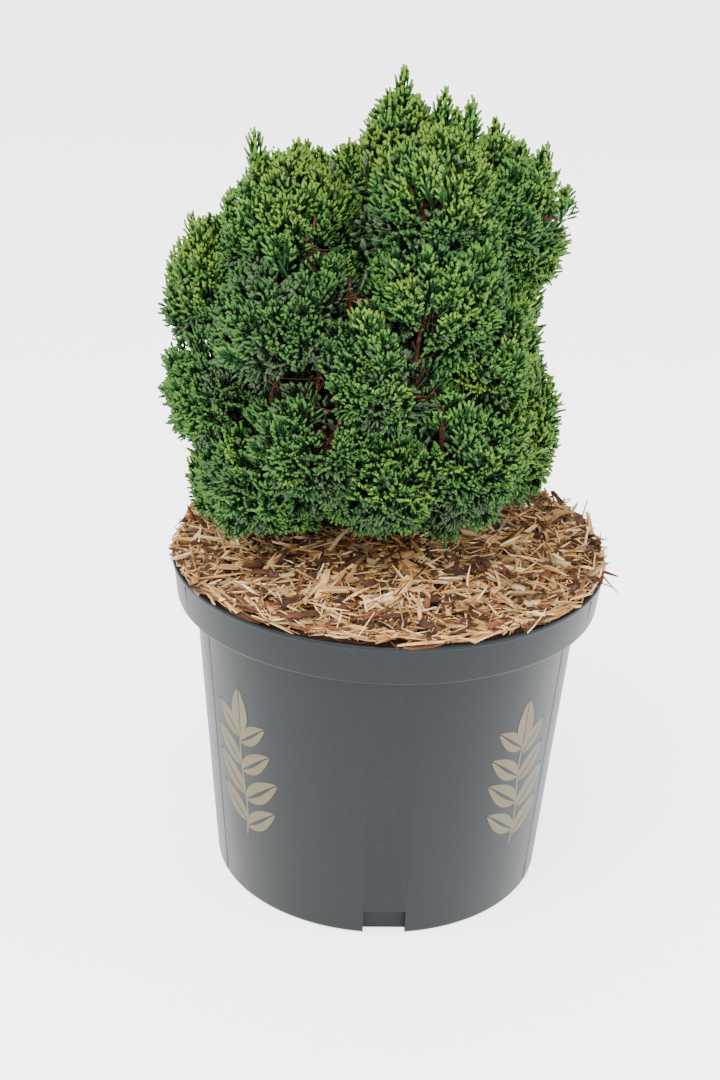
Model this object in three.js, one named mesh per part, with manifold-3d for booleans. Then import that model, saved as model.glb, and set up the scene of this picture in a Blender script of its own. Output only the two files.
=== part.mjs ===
// A dwarf hinoki cypress in a round plastic nursery pot, topped with wood mulch.
//
// Millimetres, +Z up. The origin is the centre of the pot's flat underside, on the surface that the
// pot stands on. +X is the plant's right, -Y its front.
//
// The pot is a lathed shell with drain notches in its foot. Inside it lie the root ball and a ring of
// mulch, and the trunk stands on the root ball. Tapering boughs leave the trunk and each one holds a
// dense mass of foliage: a core, one stem, and twigs that carry flat toothed sprays out of the core.
// The top mass sits on the trunk's own tip. Upright leading shoots stand out of the upper masses.

import * as THREE from 'three';
import { mergeVertices } from 'three/addons/utils/BufferGeometryUtils.js';
import Module from 'manifold-3d';

const wasm = await Module();
wasm.setup();

// ---------- driving dimensions ----------

const gap = 0.3; // between neighbouring pieces
const up = new THREE.Vector3(0, 0, 1);
const goldenAngle = Math.PI * (3 - Math.sqrt(5)); // between one twig or chip and the next

const pot = {
  height: 140,
  lipRadius: 88.5,
  lipDepth: 2,
  ease: 0.5, // how far the lip's edges are broken and the band's foot slopes
  bandTopRadius: 88,
  bandFootRadius: 86.4,
  bandDepth: 17,
  shoulderRadius: 79,
  footRadius: 69.4,
  footChamfer: 1.5,
  wall: 1.8,
  floor: 3.5,
  segments: 40,
  notches: 4,
  notchTurn: 3, // degrees from +X to the first notch
  notchHeight: 11,
  notchDepth: 4.5,
  notchWidth: 17,
  drainHoles: 4,
  drainRadius: 4,
  drainCircle: 50,
};

const rootBall = { top: 126, clearance: 0.9, segments: 24 };

const mulch = {
  rimHeight: 139,
  crestHeight: 149,
  crestRadius: 34,
  clearance: 1.5, // from the pot's wall at the rim
  footClearance: 2, // and at the mulch's foot
  margin: 1, // the outermost strip stays level and clear of chips
  segments: 38,
  rings: 4,
  waves: { height: 1.3, acrossX: 0.21, acrossY: 0.17, sway: 2 },
  chips: 26,
  chipLength: [14, 30],
  chipWidth: [2.4, 5],
  chipThickness: 1.6,
  chipTilt: 0.17, // most that a chip leans, in radians
  chipLift: 0.3,
  overRim: { radius: 82, tilt: 0.04, width: 1.8, lift: 2.4 },
};

// Loose slivers that hang out over the rim on the right.
const sliversOverRim = [
  { bearing: -0.12, turn: -0.25, length: 23 },
  { bearing: -0.02, turn: 0.1, length: 25 },
];

const trunk = {
  foot: [15, 4],
  tip: [2, 2, 281],
  bow: [5, -9, 12], // how far the middle stands out of the straight line
  straight: 22, // rises this far before it bows
  footRadius: 5.6,
  flareRadius: 10.5,
  flareHeight: 16,
  tipRadius: 2.2,
  sides: 9,
  rings: 12,
};

const bough = {
  rootRadius: 2.4,
  tipRadius: 1.4,
  sides: 5,
  rings: 4,
  sag: 0.16, // bow below the straight line, as a share of the length
  belly: 0.08, // bow away from the trunk, likewise
  lowestFork: 153,
  highestFork: 262,
  stagger: 8, // every other bough forks off this much higher
  shortest: 15, // from the trunk's middle line to where the bough ends
  forkBelow: 14, // a bough forks off this far under its mass's middle, and half the mass's reach out
};

const foliage = {
  floorHeight: 163, // lowest that foliage reaches over the mound's crest
  floorFall: 0.2, // how steeply that floor falls outward
  space: 0.8, // left free between two masses
  core: 0.8, // the core's share of the mass's own reach
  entry: 0.9, // the share of it at which the bough ends and the stem begins
  stemRadius: 1.3,
  stemRise: 0.3, // where the stem ends over the mass's middle, as a share of the reach
  twigRoots: [0.4, 0.9], // where twigs leave the stem, as shares of its length
  twigRun: 0.6, // a twig ends inside its spray, this share of the way to the tip
  twigRadius: 0.8,
  twigs: 42,
  open: 0.9, // a twig grows where this share of the mass's own reach is free
  sprayLength: 16,
  sprayWidth: 13,
  sprayThickness: 1.6,
  sprayTurn: 0.6, // most that a spray strays from the golden angle, in radians
  sprayLean: 0.45, // most that it leans off the straight line out
  shootWidth: 7,
  shootLean: 0.12, // how far a shoot leans out of upright
};

// Where each mass is: its bearing in degrees from +X towards +Y and its distance out, both from the
// crown's own axis, the height of its middle, its half girth, and how much taller than wide it is.
const crownAxis = { x: -10, y: 0 };
const massPlan = {
  leader: { bearing: 12, out: 9, height: 296, girth: 20, tall: 1.75 },
  upper_front: { bearing: 307, out: 34, height: 286, girth: 29, tall: 1.25 },
  upper_right: { bearing: 352, out: 43, height: 282, girth: 30, tall: 1.17 },
  upper_middle: { bearing: 146, out: 14, height: 271, girth: 31, tall: 1.15 },
  upper_left: { bearing: 203, out: 35, height: 272, girth: 31, tall: 1.15 },
  upper_back: { bearing: 66, out: 35, height: 276, girth: 35, tall: 1.15 },
  upper_back_left: { bearing: 131, out: 35, height: 260, girth: 37, tall: 1.15 },
  upper_back_right: { bearing: 32, out: 49, height: 266, girth: 34, tall: 1.15 },
  far_right: { bearing: 2, out: 49, height: 270, girth: 27, tall: 1.1 },
  centre_right: { bearing: 321, out: 48, height: 235, girth: 29, tall: 1.4 },
  centre_front: { bearing: 299, out: 47, height: 258, girth: 31, tall: 1.15 },
  middle_front: { bearing: 273, out: 47, height: 233, girth: 31, tall: 1.35 },
  left_shoulder: { bearing: 178, out: 56, height: 243, girth: 29, tall: 1.45 },
  centre_left: { bearing: 231, out: 46, height: 246, girth: 34, tall: 1.15 },
  left_middle: { bearing: 195, out: 53, height: 215, girth: 34, tall: 1.12 },
  middle_back_left: { bearing: 143, out: 50, height: 240, girth: 38, tall: 1.1 },
  middle_back: { bearing: 90, out: 42, height: 234, girth: 40, tall: 1.15 },
  middle_back_right: { bearing: 45, out: 54, height: 238, girth: 35, tall: 1.15 },
  right_middle: { bearing: 357, out: 44, height: 239, girth: 25, tall: 1.45 },
  lower_right: { bearing: 354, out: 51, height: 194, girth: 29, tall: 1.55 },
  lower_front_right: { bearing: 310, out: 50, height: 201, girth: 34, tall: 1.25 },
  lower_front_left: { bearing: 250, out: 49, height: 207, girth: 32, tall: 1.25 },
  lower_front: { bearing: 279, out: 45, height: 195, girth: 32, tall: 1.1 },
  lower_left: { bearing: 220, out: 47, height: 187, girth: 34, tall: 1.15 },
  lower_far_left: { bearing: 180, out: 47, height: 171, girth: 30, tall: 1.2 },
  lower_back_left: { bearing: 126, out: 47, height: 193, girth: 38, tall: 1.1 },
  lower_back: { bearing: 80, out: 45, height: 197, girth: 38, tall: 1.15 },
  lower_back_right: { bearing: 36, out: 53, height: 199, girth: 36, tall: 1.2 },
};
const massesOnTrunk = ['leader'];

// Upright leading shoots: the mass that each grows from, where it ends, and its length.
const shoots = [
  { mass: 'leader', tip: [-2, 2, 333], length: 20 },
  { mass: 'leader', tip: [-7, -4, 325], length: 18 },
  { mass: 'leader', tip: [3, -4, 323], length: 16 },
  { mass: 'leader', tip: [14, -4, 327], length: 20 },
  { mass: 'leader', tip: [-21, -5, 307], length: 13 },
  { mass: 'leader', tip: [-10, 14, 312], length: 18 },
  { mass: 'leader', tip: [2, 12, 322], length: 18 },
  { mass: 'upper_front', tip: [23, -22, 326], length: 18 },
  { mass: 'upper_front', tip: [9, -45, 309], length: 20 },
  { mass: 'upper_right', tip: [33, 0, 316], length: 18 },
  { mass: 'upper_right', tip: [43, -4, 309], length: 16 },
  { mass: 'upper_right', tip: [52, -4, 308], length: 18 },
  { mass: 'upper_right', tip: [59, -20, 296], length: 12 },
  { mass: 'upper_left', tip: [-56, -8, 310], length: 20 },
  { mass: 'upper_left', tip: [-47, -12, 304], length: 15 },
  { mass: 'upper_left', tip: [-40, -4, 306], length: 18 },
  { mass: 'upper_left', tip: [-65, -8, 287], length: 15 },
  { mass: 'upper_middle', tip: [-33, 14, 301], length: 17 },
  { mass: 'left_shoulder', tip: [-80, 2, 276], length: 20 },
  { mass: 'left_shoulder', tip: [-87, 0, 260], length: 16 },
  { mass: 'upper_back', tip: [-4, 40, 318], length: 19 },
  { mass: 'upper_back', tip: [20, 36, 314], length: 18 },
  { mass: 'upper_back_left', tip: [-38, 34, 299], length: 19 },
  { mass: 'upper_back_left', tip: [-52, 26, 290], length: 17 },
  { mass: 'upper_back_left', tip: [-34, 54, 272], length: 17 },
  { mass: 'upper_back_right', tip: [36, 40, 300], length: 18 },
  { mass: 'upper_back_right', tip: [48, 30, 297], length: 17 },
];

const finishes = {
  pot: { color: 0x4b5052, roughness: 0.38 },
  root_ball: { color: 0x2a1d14, roughness: 1 },
  mulch: { color: 0xa87b4c, roughness: 0.95 },
  bark: { color: 0x6b3d25, roughness: 0.9 },
  foliage: { color: 0x2f6b2c, roughness: 0.65 },
};

// ---------- helpers ----------

// A repeatable stream of numbers from 0 to 1.
function dice(seed) {
  const modulus = 2 ** 31 - 1;
  let state = seed * 7919 + 17;
  return () => {
    state = (state * 16807) % modulus;
    return state / modulus;
  };
}

const between = (roll, [low, high]) => low + (high - low) * roll();

function solidOf(geometry, tolerance = 1e-4) {
  const bare = geometry.clone();
  bare.deleteAttribute('normal');
  bare.deleteAttribute('uv');
  const merged = mergeVertices(bare, tolerance);
  return new wasm.Manifold(
    new wasm.Mesh({
      numProp: 3,
      vertProperties: new Float32Array(merged.attributes.position.array),
      triVerts: new Uint32Array(merged.index.array),
    }),
  );
}

function geometryOf(solid) {
  const mesh = solid.getMesh();
  const geometry = new THREE.BufferGeometry();
  geometry.setAttribute('position', new THREE.BufferAttribute(mesh.vertProperties, 3));
  geometry.setIndex(new THREE.BufferAttribute(mesh.triVerts, 1));
  return geometry;
}

const joined = (solids) => wasm.Manifold.union(solids);

const largestOf = (solid) =>
  solid.decompose().reduce((best, piece) => (piece.volume() > best.volume() ? piece : best));

// One clean body: corners closer than a thousandth meet, and loose scraps and sealed hollows go.
function settled(solid) {
  let body = largestOf(solid);
  for (let pass = 0; pass < 3; pass++) body = largestOf(solidOf(geometryOf(body), 1e-3));
  return body;
}

// Lathe profiles are pairs of radius and height; the lathe turns about Y, so the result is stood up.
function lathed(profile, segments) {
  const points = profile.map(([radius, height]) => new THREE.Vector2(radius, height));
  return new THREE.LatheGeometry(points, segments).rotateX(Math.PI / 2);
}

// A round limb along a curve: a capped cylinder whose rings are laid across the curve. A clearance
// makes it larger all over, for cutting its neighbours free of it.
function limb(curve, radiusAt, sides, rings, clearance = 0) {
  const geometry = new THREE.CylinderGeometry(1, 1, 1, sides, rings);
  const frames = curve.computeFrenetFrames(rings);
  const position = geometry.attributes.position;
  const vertex = new THREE.Vector3();
  for (let i = 0; i < position.count; i++) {
    vertex.fromBufferAttribute(position, i);
    const share = vertex.y + 0.5;
    const ring = Math.round(share * rings);
    const radius = radiusAt(share) + clearance;
    const past = ring === 0 ? -clearance : ring === rings ? clearance : 0;
    const placed = curve
      .getPointAt(share)
      .addScaledVector(frames.tangents[ring], past)
      .addScaledVector(frames.normals[ring], vertex.z * radius)
      .addScaledVector(frames.binormals[ring], vertex.x * radius);
    position.setXYZ(i, placed.x, placed.y, placed.z);
  }
  return geometry;
}

// ---------- pot, root ball and mulch ----------

const bodyRadiusAt = (height) => {
  const top = pot.height - pot.bandDepth;
  return THREE.MathUtils.lerp(pot.footRadius, pot.shoulderRadius, height / top);
};

// The wall's inside, from the rim down. It steps in above the floor to clear the foot's notches, and
// an inset moves all of it inward.
function insideProfile(inset) {
  const bandFoot = pot.height - pot.bandDepth;
  const stepRadius = pot.footRadius - pot.notchDepth - pot.wall - inset;
  const stepHeight = pot.notchHeight + pot.wall + inset;
  const slopeTop = stepHeight + pot.notchDepth;
  return [
    [pot.bandFootRadius - pot.wall - inset, bandFoot + pot.ease + pot.wall + inset],
    [pot.shoulderRadius - pot.wall - inset, bandFoot + inset],
    [bodyRadiusAt(slopeTop) - pot.wall - inset, slopeTop],
    [stepRadius, stepHeight],
    [stepRadius, pot.floor + inset],
    [0, pot.floor + inset],
  ];
}

function potProfile() {
  const bandFoot = pot.height - pot.bandDepth;
  return [
    [0, 0],
    [pot.footRadius - pot.footChamfer, 0],
    [pot.footRadius, pot.footChamfer],
    [pot.shoulderRadius, bandFoot],
    [pot.bandFootRadius, bandFoot + pot.ease],
    [pot.bandTopRadius, pot.height - pot.lipDepth],
    [pot.lipRadius, pot.height - pot.lipDepth + pot.ease],
    [pot.lipRadius, pot.height - pot.ease],
    [pot.lipRadius - pot.ease, pot.height],
    [pot.bandTopRadius - pot.wall, pot.height],
    ...insideProfile(0),
  ];
}

// The foot steps in at each notch, and holes between the notches drain the floor.
function potSolid() {
  const cuts = [];
  for (let i = 0; i < pot.notches; i++) {
    const bearing = THREE.MathUtils.degToRad(pot.notchTurn + (360 * i) / pot.notches);
    const notch = new THREE.BoxGeometry(2 * pot.notchDepth, pot.notchWidth, 2 * pot.notchHeight);
    cuts.push(solidOf(notch.translate(pot.footRadius, 0, 0).rotateZ(bearing)));
  }
  for (let i = 0; i < pot.drainHoles; i++) {
    const bearing = ((i + 0.5) / pot.drainHoles) * 2 * Math.PI;
    const hole = new THREE.CylinderGeometry(pot.drainRadius, pot.drainRadius, 4 * pot.floor, 8);
    cuts.push(solidOf(hole.rotateX(Math.PI / 2).translate(pot.drainCircle, 0, 0).rotateZ(bearing)));
  }
  return solidOf(lathed(potProfile(), pot.segments)).subtract(joined(cuts));
}

function rootBallSolid() {
  const side = insideProfile(rootBall.clearance).slice(1).reverse();
  const topRadius = pot.bandFootRadius - pot.wall - 2 * rootBall.clearance;
  return solidOf(lathed([...side, [topRadius, rootBall.top], [0, rootBall.top]], rootBall.segments));
}

const mulchEdge = pot.bandTopRadius - pot.wall - mulch.clearance;

// The mulch is a low mound: level round the trunk, falling to the rim.
function mulchHeightAt(radius) {
  const share = THREE.MathUtils.clamp((radius - mulch.crestRadius) / (mulchEdge - mulch.crestRadius), 0, 1);
  return THREE.MathUtils.lerp(mulch.crestHeight, mulch.rimHeight, share * share);
}

function mulchProfile() {
  const foot = rootBall.top + gap;
  const footRadius = pot.bandFootRadius - pot.wall - mulch.footClearance;
  const top = [];
  for (let ring = 0; ring <= mulch.rings; ring++) {
    const radius = mulchEdge * (1 - ring / mulch.rings);
    top.push([radius, mulchHeightAt(radius)]);
  }
  return [[0, foot], [footRadius, foot], ...top];
}

// One flat wooden chip, lying on the mound and turned about.
function chip({ radius, bearing, turn, tilt, length, width, lift = mulch.chipLift }) {
  const size = [length, width, mulch.chipThickness];
  const flat = new THREE.BoxGeometry(...size).rotateY(tilt).rotateZ(turn);
  const x = radius * Math.cos(bearing);
  const y = radius * Math.sin(bearing);
  return solidOf(flat.translate(x, y, mulchHeightAt(radius) + lift));
}

function mulchSolid() {
  const roll = dice(5);
  const mound = lathed(mulchProfile(), mulch.segments);
  const position = mound.attributes.position;
  const { height, acrossX, acrossY, sway } = mulch.waves;
  for (let i = 0; i < position.count; i++) {
    const [x, y, z] = [position.getX(i), position.getY(i), position.getZ(i)];
    const isOnTop = z >= mulch.rimHeight && Math.hypot(x, y) < mulchEdge - mulch.margin;
    if (isOnTop) position.setZ(i, z + height * Math.sin(x * acrossX + sway * Math.sin(y * acrossY)));
  }
  const chips = [];
  for (let i = 0; i < mulch.chips; i++) {
    const length = between(roll, mulch.chipLength);
    const reach = mulchEdge - length / 2 - mulch.margin;
    chips.push(
      chip({
        radius: THREE.MathUtils.lerp(mulch.crestRadius, reach, Math.sqrt(roll())),
        bearing: i * goldenAngle,
        turn: roll() * Math.PI,
        tilt: (2 * roll() - 1) * mulch.chipTilt,
        length,
        width: between(roll, mulch.chipWidth),
      }),
    );
  }
  for (const sliver of sliversOverRim) chips.push(chip({ ...mulch.overRim, ...sliver }));
  return settled(joined([solidOf(mound), ...chips]).subtract(solidOf(trunkGeometry(gap))));
}

// ---------- trunk and boughs ----------

const trunkFoot = new THREE.Vector3(...trunk.foot, rootBall.top + gap);
const trunkTip = new THREE.Vector3(...trunk.tip);

const trunkCurve = new THREE.CatmullRomCurve3([
  trunkFoot,
  trunkFoot.clone().addScaledVector(up, trunk.straight),
  trunkFoot.clone().lerp(trunkTip, 0.5).add(new THREE.Vector3(...trunk.bow)),
  trunkTip,
]);

function trunkRadiusAt(share) {
  const flare = Math.exp(-(share * (trunkTip.z - trunkFoot.z)) / trunk.flareHeight);
  const straight = THREE.MathUtils.lerp(trunk.footRadius, trunk.tipRadius, share);
  return straight + (trunk.flareRadius - trunk.footRadius) * flare;
}

// The share of the trunk's length at which it reaches a height.
function trunkShareAt(height) {
  let low = 0;
  let high = 1;
  while (high - low > 1e-7) {
    const middle = (low + high) / 2;
    if (trunkCurve.getPointAt(middle).z < height) low = middle;
    else high = middle;
  }
  return (low + high) / 2;
}

const trunkGeometry = (clearance) =>
  limb(trunkCurve, trunkRadiusAt, trunk.sides, trunk.rings, clearance);

// A bough starts just clear of the trunk's skin, bows below the straight line and ends on its
// mass's core.
function boughCurve(mass) {
  const share = trunkShareAt(mass.fork);
  const centre = trunkCurve.getPointAt(share);
  const along = trunkCurve.getTangentAt(share);
  const aim = mass.entry.clone().sub(centre);
  const side = aim.clone().addScaledVector(along, -aim.dot(along)).normalize();
  const skin = centre.clone().addScaledVector(side, trunkRadiusAt(share) + gap);
  const middle = skin.clone().lerp(mass.entry, 0.5);
  middle.z -= bough.sag * aim.length();
  middle.addScaledVector(side, bough.belly * aim.length());
  const start = middle.clone().sub(skin).normalize();
  const tilt = Math.sqrt(1 - start.dot(side) ** 2);
  const root = skin.addScaledVector(side, bough.rootRadius * tilt);
  return new THREE.QuadraticBezierCurve3(root, middle, mass.entry);
}

function boughGeometry(mass, clearance) {
  const radiusAt = (share) => THREE.MathUtils.lerp(bough.rootRadius, bough.tipRadius, share);
  return limb(boughCurve(mass), radiusAt, bough.sides, bough.rings, clearance);
}

// ---------- masses of foliage ----------

// How far the mass's own egg shape reaches along a direction.
function eggReach(mass, direction) {
  const across = Math.hypot(direction.x, direction.y) / mass.girth;
  return 1 / Math.hypot(across, direction.z / mass.rise);
}

// How far foliage may reach along a direction: the egg, less what belongs to neighbours and the mulch.
function reachOf(mass, direction) {
  let reach = eggReach(mass, direction);
  for (const { normal, distance } of mass.walls) {
    const facing = direction.dot(normal);
    if (facing > 0) reach = Math.min(reach, distance / facing);
  }
  return reach;
}

const isWithinWalls = (mass, point) =>
  mass.walls.every(({ normal, distance }) => point.clone().sub(mass.centre).dot(normal) <= distance);

function isInside(mass, point) {
  const offset = point.clone().sub(mass.centre);
  const distance = offset.length();
  return distance <= reachOf(mass, offset.divideScalar(distance)) + 1e-6;
}

function planMasses() {
  const masses = Object.entries(massPlan).map(([name, plan], index) => {
    const bearing = THREE.MathUtils.degToRad(plan.bearing);
    const centre = new THREE.Vector3(
      crownAxis.x + plan.out * Math.cos(bearing),
      crownAxis.y + plan.out * Math.sin(bearing),
      plan.height,
    );
    return { name, index, centre, girth: plan.girth, rise: plan.girth * plan.tall, out: plan.out };
  });
  for (const mass of masses) {
    mass.walls = [floorWall(mass)];
    for (const other of masses) {
      if (other === mass) continue;
      const normal = other.centre.clone().sub(mass.centre);
      const span = normal.length();
      normal.divideScalar(span);
      const own = eggReach(mass, normal);
      const theirs = eggReach(other, normal);
      mass.walls.push({ normal, distance: (span * own) / (own + theirs) - foliage.space / 2 });
    }
    placeEntry(mass);
  }
  return masses;
}

// Foliage keeps off the mulch: the floor of a mass falls outward as the mound does.
function floorWall(mass) {
  const outward = mass.centre.clone().setZ(0);
  const past = outward.length() - mulch.crestRadius;
  const normal = up.clone().addScaledVector(outward.normalize(), foliage.floorFall).negate();
  const steepness = normal.length();
  const drop = mass.centre.z + foliage.floorFall * past - foliage.floorHeight;
  return { normal: normal.divideScalar(steepness), distance: drop / steepness };
}

// The bough forks off lower than its mass and enters the core on the side that faces the fork.
function placeEntry(mass) {
  if (massesOnTrunk.includes(mass.name)) {
    mass.entry = trunkCurve.getPointAt(1);
    return;
  }
  const wanted = mass.centre.z - mass.out / 2 - bough.forkBelow;
  const stagger = (mass.index % 2) * bough.stagger;
  mass.fork = THREE.MathUtils.clamp(wanted, bough.lowestFork, bough.highestFork - bough.stagger) + stagger;
  const inward = trunkCurve.getPointAt(trunkShareAt(mass.fork)).sub(mass.centre);
  const span = inward.length();
  inward.divideScalar(span);
  const depth = Math.min(foliage.entry * reachOf(mass, inward), span - bough.shortest);
  mass.entry = mass.centre.clone().addScaledVector(inward, depth);
}

function coreSolid(mass) {
  const geometry = new THREE.IcosahedronGeometry(1, 1);
  const position = geometry.attributes.position;
  const direction = new THREE.Vector3();
  for (let i = 0; i < position.count; i++) {
    direction.fromBufferAttribute(position, i).normalize();
    const own = foliage.core * eggReach(mass, direction);
    direction.multiplyScalar(Math.min(own, reachOf(mass, direction))).add(mass.centre);
    position.setXYZ(i, direction.x, direction.y, direction.z);
  }
  return solidOf(geometry);
}

// A flat fan of three teeth, thickest in its middle: a rim of six points and a peak on either side.
function spray(root, axis, face, length, width) {
  const side = new THREE.Vector3().crossVectors(axis, face).normalize();
  const at = (along, across, lift = 0) =>
    root
      .clone()
      .addScaledVector(axis, along * length)
      .addScaledVector(side, across * width)
      .addScaledVector(face, lift * foliage.sprayThickness);
  const rim = [at(0, 0), at(0.7, 0.5), at(0.66, 0.2), at(1, 0), at(0.66, -0.2), at(0.7, -0.5)];
  const geometry = new THREE.BufferGeometry();
  const points = [...rim, at(0.5, 0, 0.5), at(0.5, 0, -0.5)];
  const places = points.flatMap((point) => point.toArray());
  geometry.setAttribute('position', new THREE.Float32BufferAttribute(places, 3));
  const faces = rim.flatMap((_, i) => {
    const next = (i + 1) % rim.length;
    return [6, i, next, 7, next, i];
  });
  geometry.setIndex(faces);
  return { points, geometry };
}

// Twigs leave the stem by the golden angle, and each carries a spray out of the core.
function twigsAndSprays(mass, stemCurve) {
  const roll = dice(mass.index + 3);
  const solids = [];
  for (let i = 0; i < foliage.twigs; i++) {
    const lift = 1 - (2 * (i + 0.5)) / foliage.twigs;
    const bearing = i * goldenAngle + roll() * foliage.sprayTurn;
    const flat = Math.sqrt(1 - lift * lift);
    const direction = new THREE.Vector3(flat * Math.cos(bearing), flat * Math.sin(bearing), lift);
    const lean = (2 * roll() - 1) * foliage.sprayLean;
    const turn = roll() * Math.PI;
    const reach = reachOf(mass, direction);
    if (reach < foliage.open * eggReach(mass, direction)) continue;
    const foot = mass.centre.clone().addScaledVector(direction, reach - foliage.sprayLength);
    const face = new THREE.Vector3().crossVectors(direction, up).normalize().applyAxisAngle(direction, turn);
    const axis = direction.clone().applyAxisAngle(face, lean);
    const made = spray(foot, axis, face, foliage.sprayLength, foliage.sprayWidth);
    if (!made.points.every((point) => isInside(mass, point))) continue;
    const root = stemCurve.getPointAt(between(roll, foliage.twigRoots));
    solids.push(twig(root, made.points[3]), solidOf(made.geometry));
  }
  return solids;
}

// An upright leading shoot: two narrow sprays that cross, on a twig from the mass's middle.
function shootSolids(mass, { tip, length }) {
  const end = new THREE.Vector3(...tip);
  const outward = end.clone().sub(mass.centre).setZ(0).normalize();
  const axis = up.clone().addScaledVector(outward, foliage.shootLean).normalize();
  const foot = end.clone().addScaledVector(axis, -length);
  const face = new THREE.Vector3(0, 1, 0).cross(axis).normalize();
  const across = new THREE.Vector3().crossVectors(axis, face);
  const made = [face, across].map((shown) => spray(foot, axis, shown, length, foliage.shootWidth));
  if (!made.every(({ points }) => points.every((point) => isWithinWalls(mass, point)))) return [];
  return [twig(mass.centre, end), ...made.map(({ geometry }) => solidOf(geometry))];
}

function twig(root, tip) {
  const end = root.clone().lerp(tip, foliage.twigRun);
  return solidOf(limb(new THREE.LineCurve3(root, end), () => foliage.twigRadius, 3, 1));
}

function massSolid(mass, limbs) {
  const inner = mass.centre.clone().addScaledVector(up, foliage.stemRise * reachOf(mass, up));
  const stemCurve = new THREE.QuadraticBezierCurve3(mass.entry, mass.centre, inner);
  const stem = limb(stemCurve, () => foliage.stemRadius, 5, 3);
  const ownShoots = shoots.filter((shoot) => shoot.mass === mass.name);
  const whole = joined([
    coreSolid(mass),
    solidOf(stem),
    ...twigsAndSprays(mass, stemCurve),
    ...ownShoots.flatMap((shoot) => shootSolids(mass, shoot)),
  ]);
  return settled(whole.subtract(limbs));
}

// ---------- the assembly ----------

const plant = new THREE.Group();

function addPiece(name, solid, finish) {
  const material = new THREE.MeshStandardMaterial({ metalness: 0, ...finishes[finish] });
  const geometry = geometryOf(solid);
  geometry.computeVertexNormals();
  const mesh = new THREE.Mesh(geometry, material);
  mesh.name = name;
  plant.add(mesh);
}

const masses = planMasses();
const boughMasses = masses.filter((mass) => mass.fork !== undefined);
const trunkSolid = solidOf(trunkGeometry());
const limbSolids = joined([
  solidOf(trunkGeometry(gap)),
  ...boughMasses.map((mass) => solidOf(boughGeometry(mass, gap))),
]);

addPiece('pot', potSolid(), 'pot');
addPiece('root_ball', rootBallSolid(), 'root_ball');
addPiece('mulch', mulchSolid(), 'mulch');
addPiece('trunk', trunkSolid, 'bark');
for (const mass of boughMasses) addPiece(`bough_${mass.name}`, solidOf(boughGeometry(mass)), 'bark');
for (const mass of masses) addPiece(`foliage_${mass.name}`, massSolid(mass, limbSolids), 'foliage');

export default plant;
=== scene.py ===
# A dwarf hinoki cypress in a nursery pot. Lengths are in millimetres until a mesh is made.
import math
import time

import bmesh
import bpy
import numpy as np
from mathutils import Matrix, Vector


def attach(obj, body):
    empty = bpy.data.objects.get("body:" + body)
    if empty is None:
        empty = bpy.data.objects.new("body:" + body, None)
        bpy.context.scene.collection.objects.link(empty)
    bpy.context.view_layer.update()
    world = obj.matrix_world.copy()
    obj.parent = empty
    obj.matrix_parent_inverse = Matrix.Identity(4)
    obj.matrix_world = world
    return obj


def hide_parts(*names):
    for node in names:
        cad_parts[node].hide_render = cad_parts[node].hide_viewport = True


started = time.time()
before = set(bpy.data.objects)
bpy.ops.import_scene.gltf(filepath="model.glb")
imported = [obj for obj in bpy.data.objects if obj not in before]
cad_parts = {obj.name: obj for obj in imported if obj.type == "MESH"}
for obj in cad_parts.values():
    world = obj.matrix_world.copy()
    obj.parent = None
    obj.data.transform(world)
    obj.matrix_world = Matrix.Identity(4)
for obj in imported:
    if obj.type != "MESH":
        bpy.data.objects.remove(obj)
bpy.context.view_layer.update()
metresPerMm = 0.001
goldenAngle = math.pi * (3 - math.sqrt(5))
up = np.array([0.0, 0.0, 1.0])
rng = np.random.default_rng(20)
foliageNodes = sorted(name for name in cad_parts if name.startswith("foliage_"))
boughNodes = sorted(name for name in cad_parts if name.startswith("bough_"))


def report(stage):
    print(f"{stage}: {time.time() - started:.1f} s")


report("frame loaded")


# Shader graphs, written as sums.

class Wire:
    def __init__(self, finish, socket):
        self.finish = finish
        self.socket = socket

    def reckon(self, operation, first, second):
        return self.finish.add("ShaderNodeMath", {"operation": operation}, {0: first, 1: second})

    def __add__(self, other):
        return self.reckon("ADD", self, other)

    def __radd__(self, other):
        return self.reckon("ADD", other, self)

    def __mul__(self, other):
        return self.reckon("MULTIPLY", self, other)

    def __rmul__(self, other):
        return self.reckon("MULTIPLY", other, self)


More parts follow.
